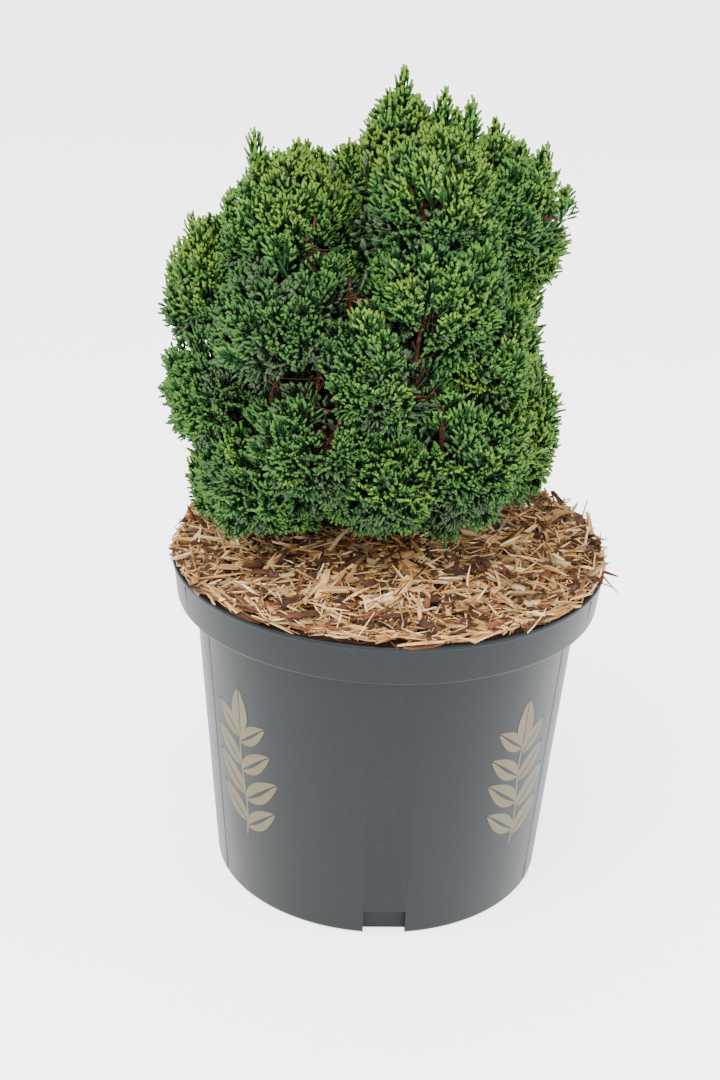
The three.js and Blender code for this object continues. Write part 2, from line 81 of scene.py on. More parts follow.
class Finish:
    def __init__(self, name):
        self.material = bpy.data.materials.new(name)
        self.material.use_nodes = True
        self.tree = self.material.node_tree
        self.shader = self.tree.nodes["Principled BSDF"]

    def add(self, kind, settings=None, sockets=None, out=0):
        node = self.tree.nodes.new(kind)
        for name, value in (settings or {}).items():
            if name == "stops":
                self.setStops(node.color_ramp, value)
            else:
                setattr(node, name, value)
        for name, value in (sockets or {}).items():
            self.feed(node.inputs[name], value)
        return Wire(self, node.outputs[out])

    def setStops(self, ramp, stops):
        while len(ramp.elements) < len(stops):
            ramp.elements.new(1.0)
        for element, (place, shade) in zip(ramp.elements, stops):
            element.position = place
            element.color = (shade, shade, shade, 1)

    def feed(self, socket, value):
        if isinstance(value, Wire):
            self.tree.links.new(value.socket, socket)
        else:
            socket.default_value = value

    def set(self, **sockets):
        for name, value in sockets.items():
            self.feed(self.shader.inputs[socketNames.get(name, name)], value)
        return self.material

    def place(self):
        return self.add("ShaderNodeTexCoord", out="Object")

    def grain(self, name):
        return self.add("ShaderNodeUVMap", {"uv_map": name})

    def stretched(self, vector, scale):
        return self.add("ShaderNodeMapping", None, {"Vector": vector, "Scale": scale})

    def noise(self, vector, scale, detail=3.0, roughness=0.5):
        sockets = {"Vector": vector, "Scale": scale, "Detail": detail, "Roughness": roughness}
        return self.add("ShaderNodeTexNoise", None, sockets)

    def ramp(self, value, *stops):
        return self.add("ShaderNodeValToRGB", {"stops": stops}, {"Fac": value})

    def mix(self, share, first, second):
        sockets = {0: share, 6: first, 7: second}
        return self.add("ShaderNodeMix", {"data_type": "RGBA"}, sockets, out=2)

    def bump(self, height, depth, strength=1.0):
        sockets = {"Height": height, "Distance": depth, "Strength": strength}
        return self.add("ShaderNodeBump", None, sockets)


socketNames = {
    "color": "Base Color",
    "roughness": "Roughness",
    "normal": "Normal",
    "specular": "Specular IOR Level",
    "glow": "Emission Color",
    "glowStrength": "Emission Strength",
}


def tone(code):
    # a colour as it is written on the web, turned into the linear values that shaders take
    shares = [int(code[i:i + 2], 16) / 255 for i in (1, 3, 5)]
    return (*[s / 12.92 if s < 0.04045 else ((s + 0.055) / 1.055) ** 2.4 for s in shares], 1.0)


# Meshes from arrays.

def unit(vectors):
    return vectors / np.maximum(np.linalg.norm(vectors, axis=-1, keepdims=True), 1e-9)


class Pile:
    # points and faces of one kind, gathered until they are made into one piece
    def __init__(self):
        self.points = []
        self.corners = []
        self.sizes = []
        self.grain = []
        self.count = 0

    def add(self, points, *faceSets, grain=None):
        for faces in faceSets:
            self.corners.append((faces + self.count).ravel())
            self.sizes.append(np.full(len(faces), faces.shape[1]))
        self.points.append(points)
        if grain is not None:
            self.grain.append(grain)
        self.count += len(points)

    def triangles(self):
        return int(sum((sizes - 2).sum() for sizes in self.sizes))

    def build(self, name, material, slot, replaced=(), sharpAngle=None):
        points = np.concatenate(self.points) * metresPerMm
        corners = np.concatenate(self.corners)
        sizes = np.concatenate(self.sizes)
        mesh = bpy.data.meshes.new(name)
        mesh.vertices.add(len(points))
        mesh.vertices.foreach_set("co", points.astype(np.float32).ravel())
        mesh.loops.add(len(corners))
        mesh.loops.foreach_set("vertex_index", corners.astype(np.int32))
        mesh.polygons.add(len(sizes))
        mesh.polygons.foreach_set("loop_start", (np.cumsum(sizes) - sizes).astype(np.int32))
        mesh.update(calc_edges=True)
        if self.grain:
            layer = mesh.uv_layers.new(name="grain")
            layer.data.foreach_set("uv", np.concatenate(self.grain)[corners].astype(np.float32).ravel())
        mesh.shade_smooth()
        if sharpAngle is not None:
            mesh.set_sharp_from_angle(angle=math.radians(sharpAngle))
        mesh.materials.append(material)
        piece = bpy.data.objects.new(name, mesh)
        bpy.context.scene.collection.objects.link(piece)
        return dress(piece, replaced)


def dress(piece, replaced=()):
    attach(piece, "root")
    if replaced:
        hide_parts(*replaced)
    return piece


def ringGrid(paths, radii, sides, twist=0.0):
    # rings of points round each path: paths is tubes x stations x 3, radii is tubes x stations
    tangents = unit(np.gradient(paths, axis=1))
    whole = unit(paths[:, -1] - paths[:, 0])
    steep = np.abs(whole[:, 2:]) > 0.9
    reference = np.where(steep, np.array([1.0, 0.0, 0.0]), up)
    across = unit(np.cross(tangents, reference[:, None, :]))
    third = np.cross(tangents, across)
    angles = np.arange(sides) / sides * 2 * math.pi + twist
    cosines = np.cos(angles)[None, None, :, None]
    sines = np.sin(angles)[None, None, :, None]
    rims = cosines * across[:, :, None, :] + sines * third[:, :, None, :]
    scale = radii[:, :, None, None] if radii.ndim == 2 else radii[..., None]
    return paths[:, :, None, :] + scale * rims


def gridFaces(tubes, stations, sides):
    # four-cornered faces between neighbouring rings
    tube = np.arange(tubes)[:, None, None] * stations * sides
    ring = np.arange(stations - 1)[None, :, None] * sides
    side = np.arange(sides)[None, None, :]
    following = (side + 1) % sides
    first = tube + ring + side
    second = tube + ring + following
    return np.stack([first, second, second + sides, first + sides], axis=-1).reshape(-1, 4)


def endFaces(tubes, stations, sides):
    # one face over the first ring of each tube and one over its last, both facing out
    ends = np.stack([np.arange(sides)[::-1], np.arange(sides) + (stations - 1) * sides])
    base = (np.arange(tubes) * stations * sides)[:, None, None]
    return (ends[None] + base).reshape(-1, sides)


def addSleeves(pile, grid, closed=False):
    tubes, stations, sides, _ = grid.shape
    faces = [gridFaces(tubes, stations, sides)]
    if closed:
        lastRing = np.arange(sides) + (stations - 1) * sides
        faces.append(lastRing[None] + np.arange(tubes)[:, None] * stations * sides)
    pile.add(grid.reshape(-1, 3), *faces)


def addCaps(pile, rings, tips):
    # a rounded end: the last ring of each tube drawn together in one point
    tubes, sides, _ = rings.shape
    points = np.concatenate([rings, tips[:, None, :]], axis=1).reshape(-1, 3)
    base = np.arange(tubes)[:, None] * (sides + 1)
    side = np.arange(sides)[None, :]
    tip = np.broadcast_to(base + sides, (tubes, sides))
    faces = np.stack([base + side, base + (side + 1) % sides, tip], -1)
    pile.add(points, faces.reshape(-1, 3))


def bezier(start, middle, end, shares):
    shares = np.asarray(shares)[..., None]
    return (1 - shares) ** 2 * start + 2 * shares * (1 - shares) * middle + shares ** 2 * end


# The pot: its shell, mould seams and printed sprigs.

pot = {
    "height": 140, "lipRadius": 88.5, "lipDepth": 2, "bandTopRadius": 88.0, "bandFootRadius": 86.4,
    "bandDepth": 17, "shoulderRadius": 79, "footRadius": 69.4, "footChamfer": 1.5, "wall": 1.8,
    "floor": 3.5, "segments": 176, "notches": 4, "notchTurn": 3, "notchHeight": 11, "notchDepth": 4.5,
    "notchWidth": 17, "drainHoles": 4, "drainRadius": 4, "drainCircle": 50, "drainReach": 8.0,
    "drainSides": 24, "sharpAngle": 38, "seamBearings": (-155, -25, 90), "seamWidth": 0.7,
    "seamHeight": 0.16, "slimmestFace": 0.02,
}


def bodyRadius(height):
    top = pot["height"] - pot["bandDepth"]
    return pot["footRadius"] + (pot["shoulderRadius"] - pot["footRadius"]) * height / top


def rounded(corner, before, after, radius, steps=4):
    # a corner of the profile drawn as a short curve
    corner, before, after = (np.array(p, float) for p in (corner, before, after))
    start = corner + unit(before - corner) * radius
    end = corner + unit(after - corner) * radius
    return [tuple(p) for p in bezier(start, corner, end, np.linspace(0, 1, steps + 1))]


def potProfile():
    bandFoot = pot["height"] - pot["bandDepth"]
    lipFoot = pot["height"] - pot["lipDepth"]
    stepRadius = pot["footRadius"] - pot["notchDepth"] - pot["wall"]
    stepHeight = pot["notchHeight"] + pot["wall"]
    slopeTop = stepHeight + pot["notchDepth"]
    corners = [
        ((pot["footRadius"], 0), pot["footChamfer"]),
        ((pot["shoulderRadius"], bandFoot), 0.8),
        ((pot["bandFootRadius"], bandFoot + 0.3), 1.1),
        ((pot["bandTopRadius"], lipFoot), 0.2),
        ((pot["lipRadius"], lipFoot + 0.4), 0.2),
        ((pot["lipRadius"], pot["height"]), 0.8),
        ((pot["bandTopRadius"] - pot["wall"], pot["height"]), 0.6),
        ((pot["bandFootRadius"] - pot["wall"], bandFoot + 0.5 + pot["wall"]), 0.6),
        ((pot["shoulderRadius"] - pot["wall"], bandFoot), 0.6),
        ((bodyRadius(slopeTop) - pot["wall"], slopeTop), 0.8),
        ((stepRadius, stepHeight), 0.8),
        ((stepRadius, pot["floor"]), 0.8),
    ]
    places = [(0, 0), *[corner for corner, _ in corners], (0, pot["floor"])]
    profile = [(0, 0)]
    for i, (corner, radius) in enumerate(corners, start=1):
        profile += rounded(corner, places[i - 1], places[i + 1], radius)
    return profile + [(0, pot["floor"])]


def lathe(pile, profile, segments):
    # both ends of the profile lie on the axis
    turn = np.arange(segments) / segments * 2 * math.pi
    inner = np.array(profile[1:-1])
    rings = np.stack([
        inner[:, 0, None] * np.cos(turn),
        inner[:, 0, None] * np.sin(turn),
        np.broadcast_to(inner[:, 1, None], (len(inner), segments)),
    ], -1).reshape(-1, 3)
    ends = np.array([[0, 0, profile[0][1]], [0, 0, profile[-1][1]]])
    side = np.arange(segments)
    following = (side + 1) % segments
    last = (len(inner) - 1) * segments
    foot = np.stack([np.full(segments, len(rings)), following, side], -1)
    head = np.stack([np.full(segments, len(rings) + 1), last + side, last + following], -1)
    pile.add(np.concatenate([rings, ends]), gridFaces(1, len(inner), segments), foot, head)


def cutAway(piece, name, cutters):
    # one Boolean cut by everything in the cutters' pile; faces too slim to matter are dissolved after it,
    # and the rest are turned to face out
    mesh = bpy.data.meshes.new(name)
    points = np.concatenate(cutters.points) * metresPerMm
    corners = np.concatenate(cutters.corners)
    sizes = np.concatenate(cutters.sizes)
    starts = np.cumsum(sizes) - sizes
    mesh.from_pydata(points.tolist(), [], [corners[s:s + n].tolist() for s, n in zip(starts, sizes)])
    tool = bpy.data.objects.new(name, mesh)
    bpy.context.scene.collection.objects.link(tool)
    modifier = piece.modifiers.new("cut", "BOOLEAN")
    modifier.operation = "DIFFERENCE"
    modifier.solver = "EXACT"
    modifier.object = tool
    bpy.context.view_layer.update()
    evaluated = piece.evaluated_get(bpy.context.evaluated_depsgraph_get())
    cut = bpy.data.meshes.new_from_object(evaluated)
    slimmest = pot["slimmestFace"] * metresPerMm
    shape = bmesh.new()
    shape.from_mesh(cut)
    bmesh.ops.dissolve_degenerate(shape, dist=slimmest, edges=shape.edges)
    bmesh.ops.triangulate(shape, faces=shape.faces)
    bmesh.ops.recalc_face_normals(shape, faces=shape.faces)
    shape.to_mesh(cut)
    shape.free()
    piece.modifiers.clear()
    piece.data = cut
    bpy.data.objects.remove(tool)


def addBox(pile, size, centre, turn):
    signs = np.array([(x, y, z) for x in (-1, 1) for y in (-1, 1) for z in (-1, 1)])
    points = signs * np.array(size) / 2 + np.array(centre)
    rotation = np.array(Matrix.Rotation(turn, 3, "Z"))
    faces = np.array([(0, 1, 3, 2), (4, 6, 7, 5), (0, 4, 5, 1), (2, 3, 7, 6), (0, 2, 6, 4), (1, 5, 7, 3)])
    pile.add(points @ rotation.T, faces)


def makePot():
    shell = Pile()
    lathe(shell, potProfile(), pot["segments"])
    piece = shell.build("pot_shell", plasticFinish(), "pot", ["pot"])
    cutters = Pile()
    for i in range(pot["notches"]):
        turn = math.radians(pot["notchTurn"]) + i / pot["notches"] * 2 * math.pi
        size = (2 * pot["notchDepth"], pot["notchWidth"], 2 * pot["notchHeight"])
        addBox(cutters, size, (pot["footRadius"], 0, 0), turn)
    for i in range(pot["drainHoles"]):
        turn = (i + 0.5) / pot["drainHoles"] * 2 * math.pi
        x, y = pot["drainCircle"] * math.cos(turn), pot["drainCircle"] * math.sin(turn)
        path = np.array([[[x, y, -pot["drainReach"]], [x, y, pot["drainReach"]]]])
        sides = pot["drainSides"]
        grid = ringGrid(path, np.full((1, 2), float(pot["drainRadius"])), sides)
        cutters.add(grid.reshape(-1, 3), gridFaces(1, 2, sides), endFaces(1, 2, sides))
    cutAway(piece, "notch_cutters", cutters)
    piece.data.shade_smooth()
    piece.data.set_sharp_from_angle(angle=math.radians(pot["sharpAngle"]))


def addStrip(pile, centres, across, outward, widths, height, depth=0.25):
    # a raised strip on a wall: a flat top with sides that go down into the wall
    left = centres - across * widths[:, None]
    right = centres + across * widths[:, None]
    rings = np.stack([
        left - outward * depth,
        left + outward * height * 0.4,
        centres + outward * height,
        right + outward * height * 0.4,
        right - outward * depth,
    ], 1)
    stations, sides = rings.shape[:2]
    pile.add(rings.reshape(-1, 3), gridFaces(1, stations, sides), endFaces(1, stations, sides))


def wallFrame(bearing, height):
    # a point on the pot's wall with its outward and sideways directions
    outward = np.stack([np.cos(bearing), np.sin(bearing), np.zeros_like(bearing)], -1)
    sideways = np.stack([-np.sin(bearing), np.cos(bearing), np.zeros_like(bearing)], -1)
    place = outward * np.asarray(bodyRadius(height))[..., None]
    place[..., 2] = height
    return place, outward, sideways


def makeSeams():
    # fine lines that the mould leaves down the band and the wall
    pile = Pile()
    bandFoot = pot["height"] - pot["bandDepth"]
    lipFoot = pot["height"] - pot["lipDepth"]
    stretches = (
        ((bodyRadius(2), 2), (bodyRadius(bandFoot - 1), bandFoot - 1)),
        ((pot["bandFootRadius"], bandFoot + 1.5), (pot["bandTopRadius"], lipFoot - 0.6)),
    )
    for degrees in pot["seamBearings"]:
        bearing = math.radians(degrees)
        outward = np.array([math.cos(bearing), math.sin(bearing), 0.0])
        sideways = np.array([-math.sin(bearing), math.cos(bearing), 0.0])
        for (lowRadius, low), (highRadius, high) in stretches:
            shares = np.linspace(0, 1, 12)[:, None]
            radii = lowRadius + (highRadius - lowRadius) * shares
            centres = outward * radii + up * (low + (high - low) * shares)
            widths = np.full(len(centres), pot["seamWidth"] / 2)
            widths[[0, -1]] = 0.05
            frames = np.broadcast_to(sideways, centres.shape), np.broadcast_to(outward, centres.shape)
            addStrip(pile, centres, *frames, widths, pot["seamHeight"])
    pile.build("pot_seams", seamFinish(), "pot", sharpAngle=40)


sprig = {
    "bearings": (-138, -42, 42, 138), "middle": 60, "stemHeight": 58, "stemWidth": 1.0, "stemTop": 8,
    "sway": 1.1, "swayTurn": 2.2, "leafPairs": 4, "lowestPair": 5, "pairMargin": 18, "stagger": 2.5,
    "shrink": 0.09, "topLeaf": 9, "leafLength": 21, "leafWidth": 4.6, "leafBend": 2.2, "leafEdge": 0.06,
    "midrib": 0.28, "spread": 48, "thickness": 0.12,
}


def swayAt(rise):
    # how far the stem wanders sideways at a height over its foot
    return sprig["sway"] * np.sin(rise / sprig["stemHeight"] * sprig["swayTurn"] * math.pi)


def leafOutline(stations=11):
    # half widths of an almond leaf along its length, as shares
    shares = np.linspace(0, 1, stations)
    return shares, np.sin(math.pi * shares ** 0.85) ** 0.9


def makeSprigs():
    # a plain printed sprig: a stem with pairs of almond leaves and one at its top
    pile = Pile()
    pairs = sprig["leafPairs"]
    low = sprig["middle"] - sprig["stemHeight"] / 2
    leaves = [(0, sprig["stemHeight"] - sprig["topLeaf"], 0, 1.0)]
    for i in range(pairs):
        rise = sprig["lowestPair"] + i * (sprig["stemHeight"] - sprig["pairMargin"]) / (pairs - 1)
        size = 1.0 - sprig["shrink"] * abs(i - 1)
        leaves += [(1, rise, sprig["spread"], size), (-1, rise + sprig["stagger"], -sprig["spread"], size)]
    shares, outline = leafOutline()
    for degrees in sprig["bearings"]:
        middle = math.radians(degrees)
        rise = np.linspace(0, sprig["stemHeight"] - sprig["stemTop"], 24)
        place, outward, sideways = wallFrame(middle + swayAt(rise) / bodyRadius(low + rise), low + rise)
        width = np.full(len(rise), sprig["stemWidth"] / 2)
        width[[0, -1]] = 0.1
        addStrip(pile, place, sideways, outward, width, sprig["thickness"])
        for hand, foot, lean, size in leaves:
            length = sprig["leafLength"] * size
            angle = math.radians(lean)
            along = shares * length
            bend = hand * sprig["leafBend"] * shares ** 2 * size
            x = np.sin(angle) * along + bend + swayAt(foot)
            z = low + foot + np.cos(angle) * along
            bearing = middle + x / bodyRadius(z)
            place, outward, sideways = wallFrame(bearing, z)
            across = unit(sideways * math.cos(angle) - up * math.sin(angle))
            halves = sprig["leafEdge"] + outline * sprig["leafWidth"] * size
            for share in (-1, 1):
                # each leaf is two blades with a bare midrib between them
                inner = place + across * share * sprig["midrib"]
                outer = place + across * share * (sprig["midrib"] + halves)[:, None]
                mid = (inner + outer) / 2
                addStrip(pile, lieOnWall(mid), across, outward, halves / 2, sprig["thickness"])
    pile.build("pot_sprigs", inkFinish(), "pot", sharpAngle=40)


def lieOnWall(points):
    radius = np.hypot(points[:, 0], points[:, 1])
    scale = bodyRadius(points[:, 2]) / radius
    return points * np.stack([scale, scale, np.ones_like(scale)], -1)


def plasticFinish():
    finish = Finish("dark grey plastic")
    place = finish.place()
    clouds = finish.noise(place, 22.0, 4.0, 0.55)
    drawn = finish.noise(finish.stretched(place, (1.0, 1.0, 0.12)), 140.0, 2.0)
    dust = finish.ramp(clouds, (0.42, 0.0), (0.72, 1.0))
    speck = finish.ramp(finish.noise(place, 900.0, 1.0), (0.66, 0.0), (0.74, 1.0))
    shade = finish.mix(dust * 0.2, tone("#101416"), tone("#1a1f21"))
    shade = finish.mix(speck * 0.10, shade, tone("#474c4d"))
    pitting = finish.noise(place, 1500.0, 2.0)
    relief = finish.bump(drawn * 0.5 + pitting * 0.5, 0.00005, 0.5)
    dullness = 0.34 + 0.12 * clouds + 0.05 * drawn
    return finish.set(color=shade, roughness=dullness, normal=relief, specular=0.17)


def seamFinish():
    finish = Finish("mould line plastic")
    clouds = finish.noise(finish.place(), 60.0, 2.0)
    shade = finish.mix(clouds, tone("#13171a"), tone("#1d2225"))
    return finish.set(color=shade, roughness=0.34 + 0.1 * clouds, specular=0.3)


def inkFinish():
    finish = Finish("tan ink")
    place = finish.place()
    clouds = finish.noise(place, 60.0, 4.0)
    worn = finish.ramp(finish.noise(place, 420.0, 3.0, 0.6), (0.58, 0.0), (0.70, 1.0))
    shade = finish.mix(clouds, tone("#4a4229"), tone("#5a5135"))
    shade = finish.mix(worn * 0.45, shade, tone("#474b4a"))
    return finish.set(color=shade, roughness=0.42 + 0.12 * clouds, specular=0.3)


makePot()
makeSeams()
makeSprigs()
report("pot made")


# Compost and mulch.

mulch = {
    "rimHeight": 140.4, "crestHeight": 149, "crestRadius": 34, "edge": 85.4, "spill": 88.4, "roughness": 1.3,
    "heap": (78, 22), "heapHeight": 3.0, "heapSpread": 24, "heapEdge": 88, "sink": 1.2, "rings": 46,
    "segments": 150, "skirtHeight": 126.6, "skirtGap": 2.4,
}
splits = {
    "chips": {
        "count": 900, "length": (9, 27), "width": (1.6, 4.3), "flatness": (0.28, 0.6), "rise": (-0.8, 2.4),
        "slope": 0.17, "roll": 0.34, "ends": (0.5, 1.0), "ragged": 0.30,
    },
    "slivers": {
        "count": 3000, "length": (7, 22), "width": (0.6, 1.6), "flatness": (0.35, 0.8), "rise": (-0.2, 3.4),
        "slope": 0.22, "roll": 0.5, "ends": (0.2, 0.8), "ragged": 0.5,
    },
    "fibres": {
        "count": 4200, "length": (4, 14), "width": (0.25, 0.6), "flatness": (0.6, 1.0), "rise": (0.3, 4.0),
        "slope": 0.30, "roll": 0.6, "ends": (0.15, 0.6), "ragged": 0.6,
    },
}
strays = {
    "upright": {
        "count": 46, "length": (7, 16), "width": (0.6, 1.5), "flatness": 0.5, "slope": (0.5, 1.25),
        "rise": 1.5, "woods": ["straw", "tan", "rust", "umber"],
    },
    "overRim": {
        "count": 12, "length": (8, 15), "width": (0.5, 1.2), "flatness": 0.6, "slope": (-0.2, 0.25),
        "turn": 0.6, "radius": 82, "height": 142.4, "woods": ["tan", "rust", "umber"],
    },
}
bark = {
    "nuggets": 250, "nuggetSize": (1.6, 3.4), "nuggetRise": (0.6, 3.0), "squash": 0.6,
    "plates": 240, "plateWidth": (4.0, 6.0), "plateRise": (1.2, 3.4), "plateTilt": 0.28,
    "plateLength": (1.0, 2.6), "plateDepth": (0.45, 0.8), "plateEnds": {"ends": (0.8, 0.95), "ragged": 0.03},
}
trunkFoot = np.array([15.0, 4.0])

# Slivers that stand at the rim or hang out over it: foot, tip, width and wood.
rimSlivers = [
    ((70, 43, 142), (67, 43, 153), 1.6, "tan"), ((72, 43, 142), (70, 43, 151), 0.9, "rust"),
    ((75, 37, 142), (75, 37, 151), 0.7, "umber"), ((81, 29, 142), (84, 30, 153), 0.8, "umber"),
    ((78, 33, 142), (79, 34, 148), 1.6, "umber"), ((80, 22, 143), (86, 24, 146), 0.7, "umber"),
    ((82, 14, 141), (84, 14, 147), 1.6, "umber"), ((-80, 13, 140), (-84, 13, 151), 1.5, "rust"),
    ((-79, 20, 140), (-82, 21, 149), 1.3, "tan"), ((82, 13, 143), (92, 15, 142), 0.8, "umber"),
    ((80, -8, 142), (92, -20, 141), 1.3, "rust"), ((83, -11, 142), (91, -26, 137), 0.8, "tan"),
    ((80, -25, 142), (90, -26, 138.5), 0.6, "umber"), ((-80, 5, 142), (-88, 9, 141.5), 1.2, "straw"),
    ((80, 6, 143), (90, 6, 142), 1.2, "rust"),
]


def mulchHeight(x, y):
    radius = np.hypot(x, y)
    share = np.clip((radius - mulch["crestRadius"]) / (mulch["edge"] - mulch["crestRadius"]), 0, 1)
    level = mulch["crestHeight"] + (mulch["rimHeight"] - mulch["crestHeight"]) * share ** 2
    fromHeap = np.hypot(x - mulch["heap"][0], y - mulch["heap"][1]) / mulch["heapSpread"]
    heap = mulch["heapHeight"] * np.exp(-fromHeap ** 2)
    level = level + heap * np.clip((mulch["heapEdge"] - radius) / 5, 0, 1)
    waves = np.sin(x * 0.21 + 2 * np.sin(y * 0.17))
    return level + mulch["roughness"] * waves * np.clip((mulch["edge"] - radius) / 8, 0, 1)


def makePeat():
    # the dark mound that the chips lie on
    pile = Pile()
    rings, segments = mulch["rings"], mulch["segments"]
    radius = mulch["edge"] * np.linspace(1, 0.01, rings)[:, None]
    turn = np.arange(segments) / segments * 2 * math.pi
    x = radius * np.cos(turn)
    y = radius * np.sin(turn)
    lumps = 0.9 * np.sin(x * 0.9 + 1.7 * np.sin(y * 0.8)) + 0.7 * np.sin(y * 1.5 + 2 * np.sin(x * 0.6))
    fade = np.clip((mulch["edge"] - radius) / 5, 0, 1)
    z = mulchHeight(x, y) - mulch["sink"] + lumps * fade
    top = np.stack([x, y, z], -1)
    skirt = top[:1].copy()
    skirt[..., 2] = mulch["skirtHeight"]
    skirt[..., :2] *= (pot["bandFootRadius"] - pot["wall"] - mulch["skirtGap"]) / mulch["edge"]
    grid = np.concatenate([skirt, top])
    crown = np.arange(segments) + rings * segments
    base = np.arange(segments)[::-1]
    pile.add(grid.reshape(-1, 3), gridFaces(1, rings + 1, segments), crown[None, :], base[None, :])
    pile.build("peat", peatFinish("peat"), "mulch", ["mulch"])


woods = {
    "straw": {"light": "#fbe3b2", "dark": "#a8824e", "share": 0.18},
    "tan": {"light": "#dbb278", "dark": "#7a5430", "share": 0.28},
    "honey": {"light": "#bc8c52", "dark": "#643f20", "share": 0.17},
    "rust": {"light": "#835139", "dark": "#432416", "share": 0.10},
    "umber": {"light": "#5a3e2a", "dark": "#26160c", "share": 0.19},
    "weathered": {"light": "#b29c76", "dark": "#5c4a34", "share": 0.08},
}


def woodFinish(name, light, dark):
    finish = Finish(f"{name} wood")
    along = finish.grain("grain")
    fibres = finish.noise(finish.stretched(along, (0.06, 1.2, 1.0)), 1.0, 4.0, 0.7)
    streaks = finish.ramp(fibres, (0.36, 0.0), (0.62, 1.0))
    blotches = finish.noise(finish.stretched(along, (0.12, 0.3, 1.0)), 1.0, 2.0)
    shade = finish.mix(streaks, tone(dark), tone(light))
    shade = finish.mix(finish.ramp(blotches, (0.48, 0.0), (0.72, 0.7)), shade, tone(dark))
    relief = finish.bump(fibres, 0.0005, 0.9)
    return finish.set(color=shade, roughness=0.82 + 0.1 * fibres, normal=relief, specular=0.15)


def peatFinish(name):
    finish = Finish(name)
    place = finish.place()
    coarse = finish.noise(place, 240.0, 4.0, 0.65)
    fine = finish.noise(place, 900.0, 2.0)
    shade = finish.mix(coarse, tone("#24140a"), tone("#4c2e16"))
    shade = finish.mix(finish.ramp(fine, (0.60, 0.0), (0.72, 0.8)), shade, tone("#6d4c2f"))
    relief = finish.bump(coarse * 0.7 + fine * 0.3, 0.0012, 0.9)
    return finish.set(color=shade, roughness=0.95, normal=relief, specular=0.2)


def addSplits(piles, kinds, centres, along, flat, size, kind, sides=4):
    # split wood: a few rings along each piece, blunt or drawn out at its ragged ends
    lengths, widths, depths = size
    count, stations = len(centres), 4
    across = unit(np.cross(flat, along))
    lift = np.cross(along, across)
    spread = np.linspace(-0.5, 0.5, stations)[None, :] + rng.normal(0, 0.03, (count, stations))
    bow = rng.normal(0, 0.03, (2, count, 1)) * (1 - (2 * spread) ** 2) * lengths[:, None]
    paths = (centres[:, None] + along[:, None] * (spread * lengths[:, None])[..., None]
             + lift[:, None] * bow[0][..., None] + across[:, None] * bow[1][..., None])
    ends = rng.uniform(*kind["ends"], (count, 2))
    taper = np.stack([ends[:, 0], np.ones(count), np.full(count, 0.95), ends[:, 1]], 1)
    taper = taper * rng.uniform(0.85, 1.1, (count, stations))
    angles = (np.arange(sides) + 0.5) / sides * 2 * math.pi
    corner = rng.uniform(0.82, 1.15, (count, 1, sides)) / math.cos(math.pi / sides)
    wide = np.cos(angles) * corner * (widths[:, None] * taper)[..., None] / 2
    deep = np.sin(angles) * corner * (depths[:, None] * taper ** 0.6)[..., None] / 2
    grid = paths[:, :, None] + across[:, None, None] * wide[..., None] + lift[:, None, None] * deep[..., None]
    skew = rng.normal(0, kind["ragged"], (2, count, sides)) * widths[:, None]
    grid[:, 0] += along[:, None] * skew[0][..., None]
    grid[:, -1] += along[:, None] * skew[1][..., None]
    girth = np.broadcast_to(np.arange(sides) / sides, (count, stations, sides)) * widths[:, None, None] * 2.4
    length = np.broadcast_to((spread * lengths[:, None])[..., None], (count, stations, sides))
    grain = np.stack([length, girth], -1) + rng.uniform(0, 400, (count, 1, 1, 2))
    for name in np.unique(kinds):
        chosen = kinds == name
        shape = int(chosen.sum()), stations, sides
        own = grain[chosen].reshape(-1, 2)
        piles[name].add(grid[chosen].reshape(-1, 3), gridFaces(*shape), endFaces(*shape), grain=own)


def scatter(count, reach, inner=0.0):
    turn = rng.uniform(0, 2 * math.pi, count)
    radius = (reach - 1) * np.sqrt(rng.uniform(inner, 1, count))
    return radius * np.cos(turn), radius * np.sin(turn)


def skewed(low, high, first, second, count):
    # values between two limits, most of them near the lower one
    return low + (high - low) * rng.beta(first, second, count)


def leaning(turn, slope):
    return np.stack([np.cos(turn) * np.cos(slope), np.sin(turn) * np.cos(slope), np.sin(slope)], -1)


def makeChips():
    piles = {name: Pile() for name in woods}
    names = np.array(list(woods))
    shares = np.array([wood["share"] for wood in woods.values()])
    for kind in splits.values():
        count = kind["count"]
        x, y = scatter(count, mulch["spill"])
        lengths = skewed(*kind["length"], 1.4, 2.8, count)
        widths = skewed(*kind["width"], 1.3, 2.4, count)
        depths = np.clip(widths * rng.uniform(*kind["flatness"], count), 0.25, 1.8)
        turn = rng.uniform(0, 2 * math.pi, count)
        slope = rng.normal(0, kind["slope"], count)
        # pieces near the rim lie along it, so that few reach out past the lip
        radius = np.hypot(x, y)
        outFar = radius + np.abs(np.cos(turn - np.arctan2(y, x))) * lengths / 2
        tooFar = outFar > mulch["spill"] + 0.6
        turn = np.where(tooFar, np.arctan2(y, x) + math.pi / 2 + rng.normal(0, 0.15, count), turn)
        pull = np.where(tooFar, np.minimum(1, (mulch["spill"] - widths / 2 - lengths ** 2 / 700) / radius), 1)
        x, y = x * pull, y * pull
        # a piece that leans is lifted, so that its low end stays on the mound
        z = mulchHeight(x, y) + rng.uniform(*kind["rise"], count) + 0.3 * lengths * np.abs(np.sin(slope))
        onLip = np.hypot(x, y) > mulch["edge"] - 1
        z = np.where(onLip, np.maximum(z, pot["height"] + 0.2 + depths / 2), z)
        flat = unit(up + rng.normal(0, kind["roll"], (count, 3)))
        centres = np.stack([x, y, z], -1)
        woodOf = rng.choice(names, count, p=shares)
        addSplits(piles, woodOf, centres, leaning(turn, slope), flat, (lengths, widths, depths), kind)
    addUpright(piles)
    for name, wood in woods.items():
        finish = woodFinish(name, wood["light"], wood["dark"])
        piles[name].build(f"chips_{name}", finish, "mulch", sharpAngle=35)


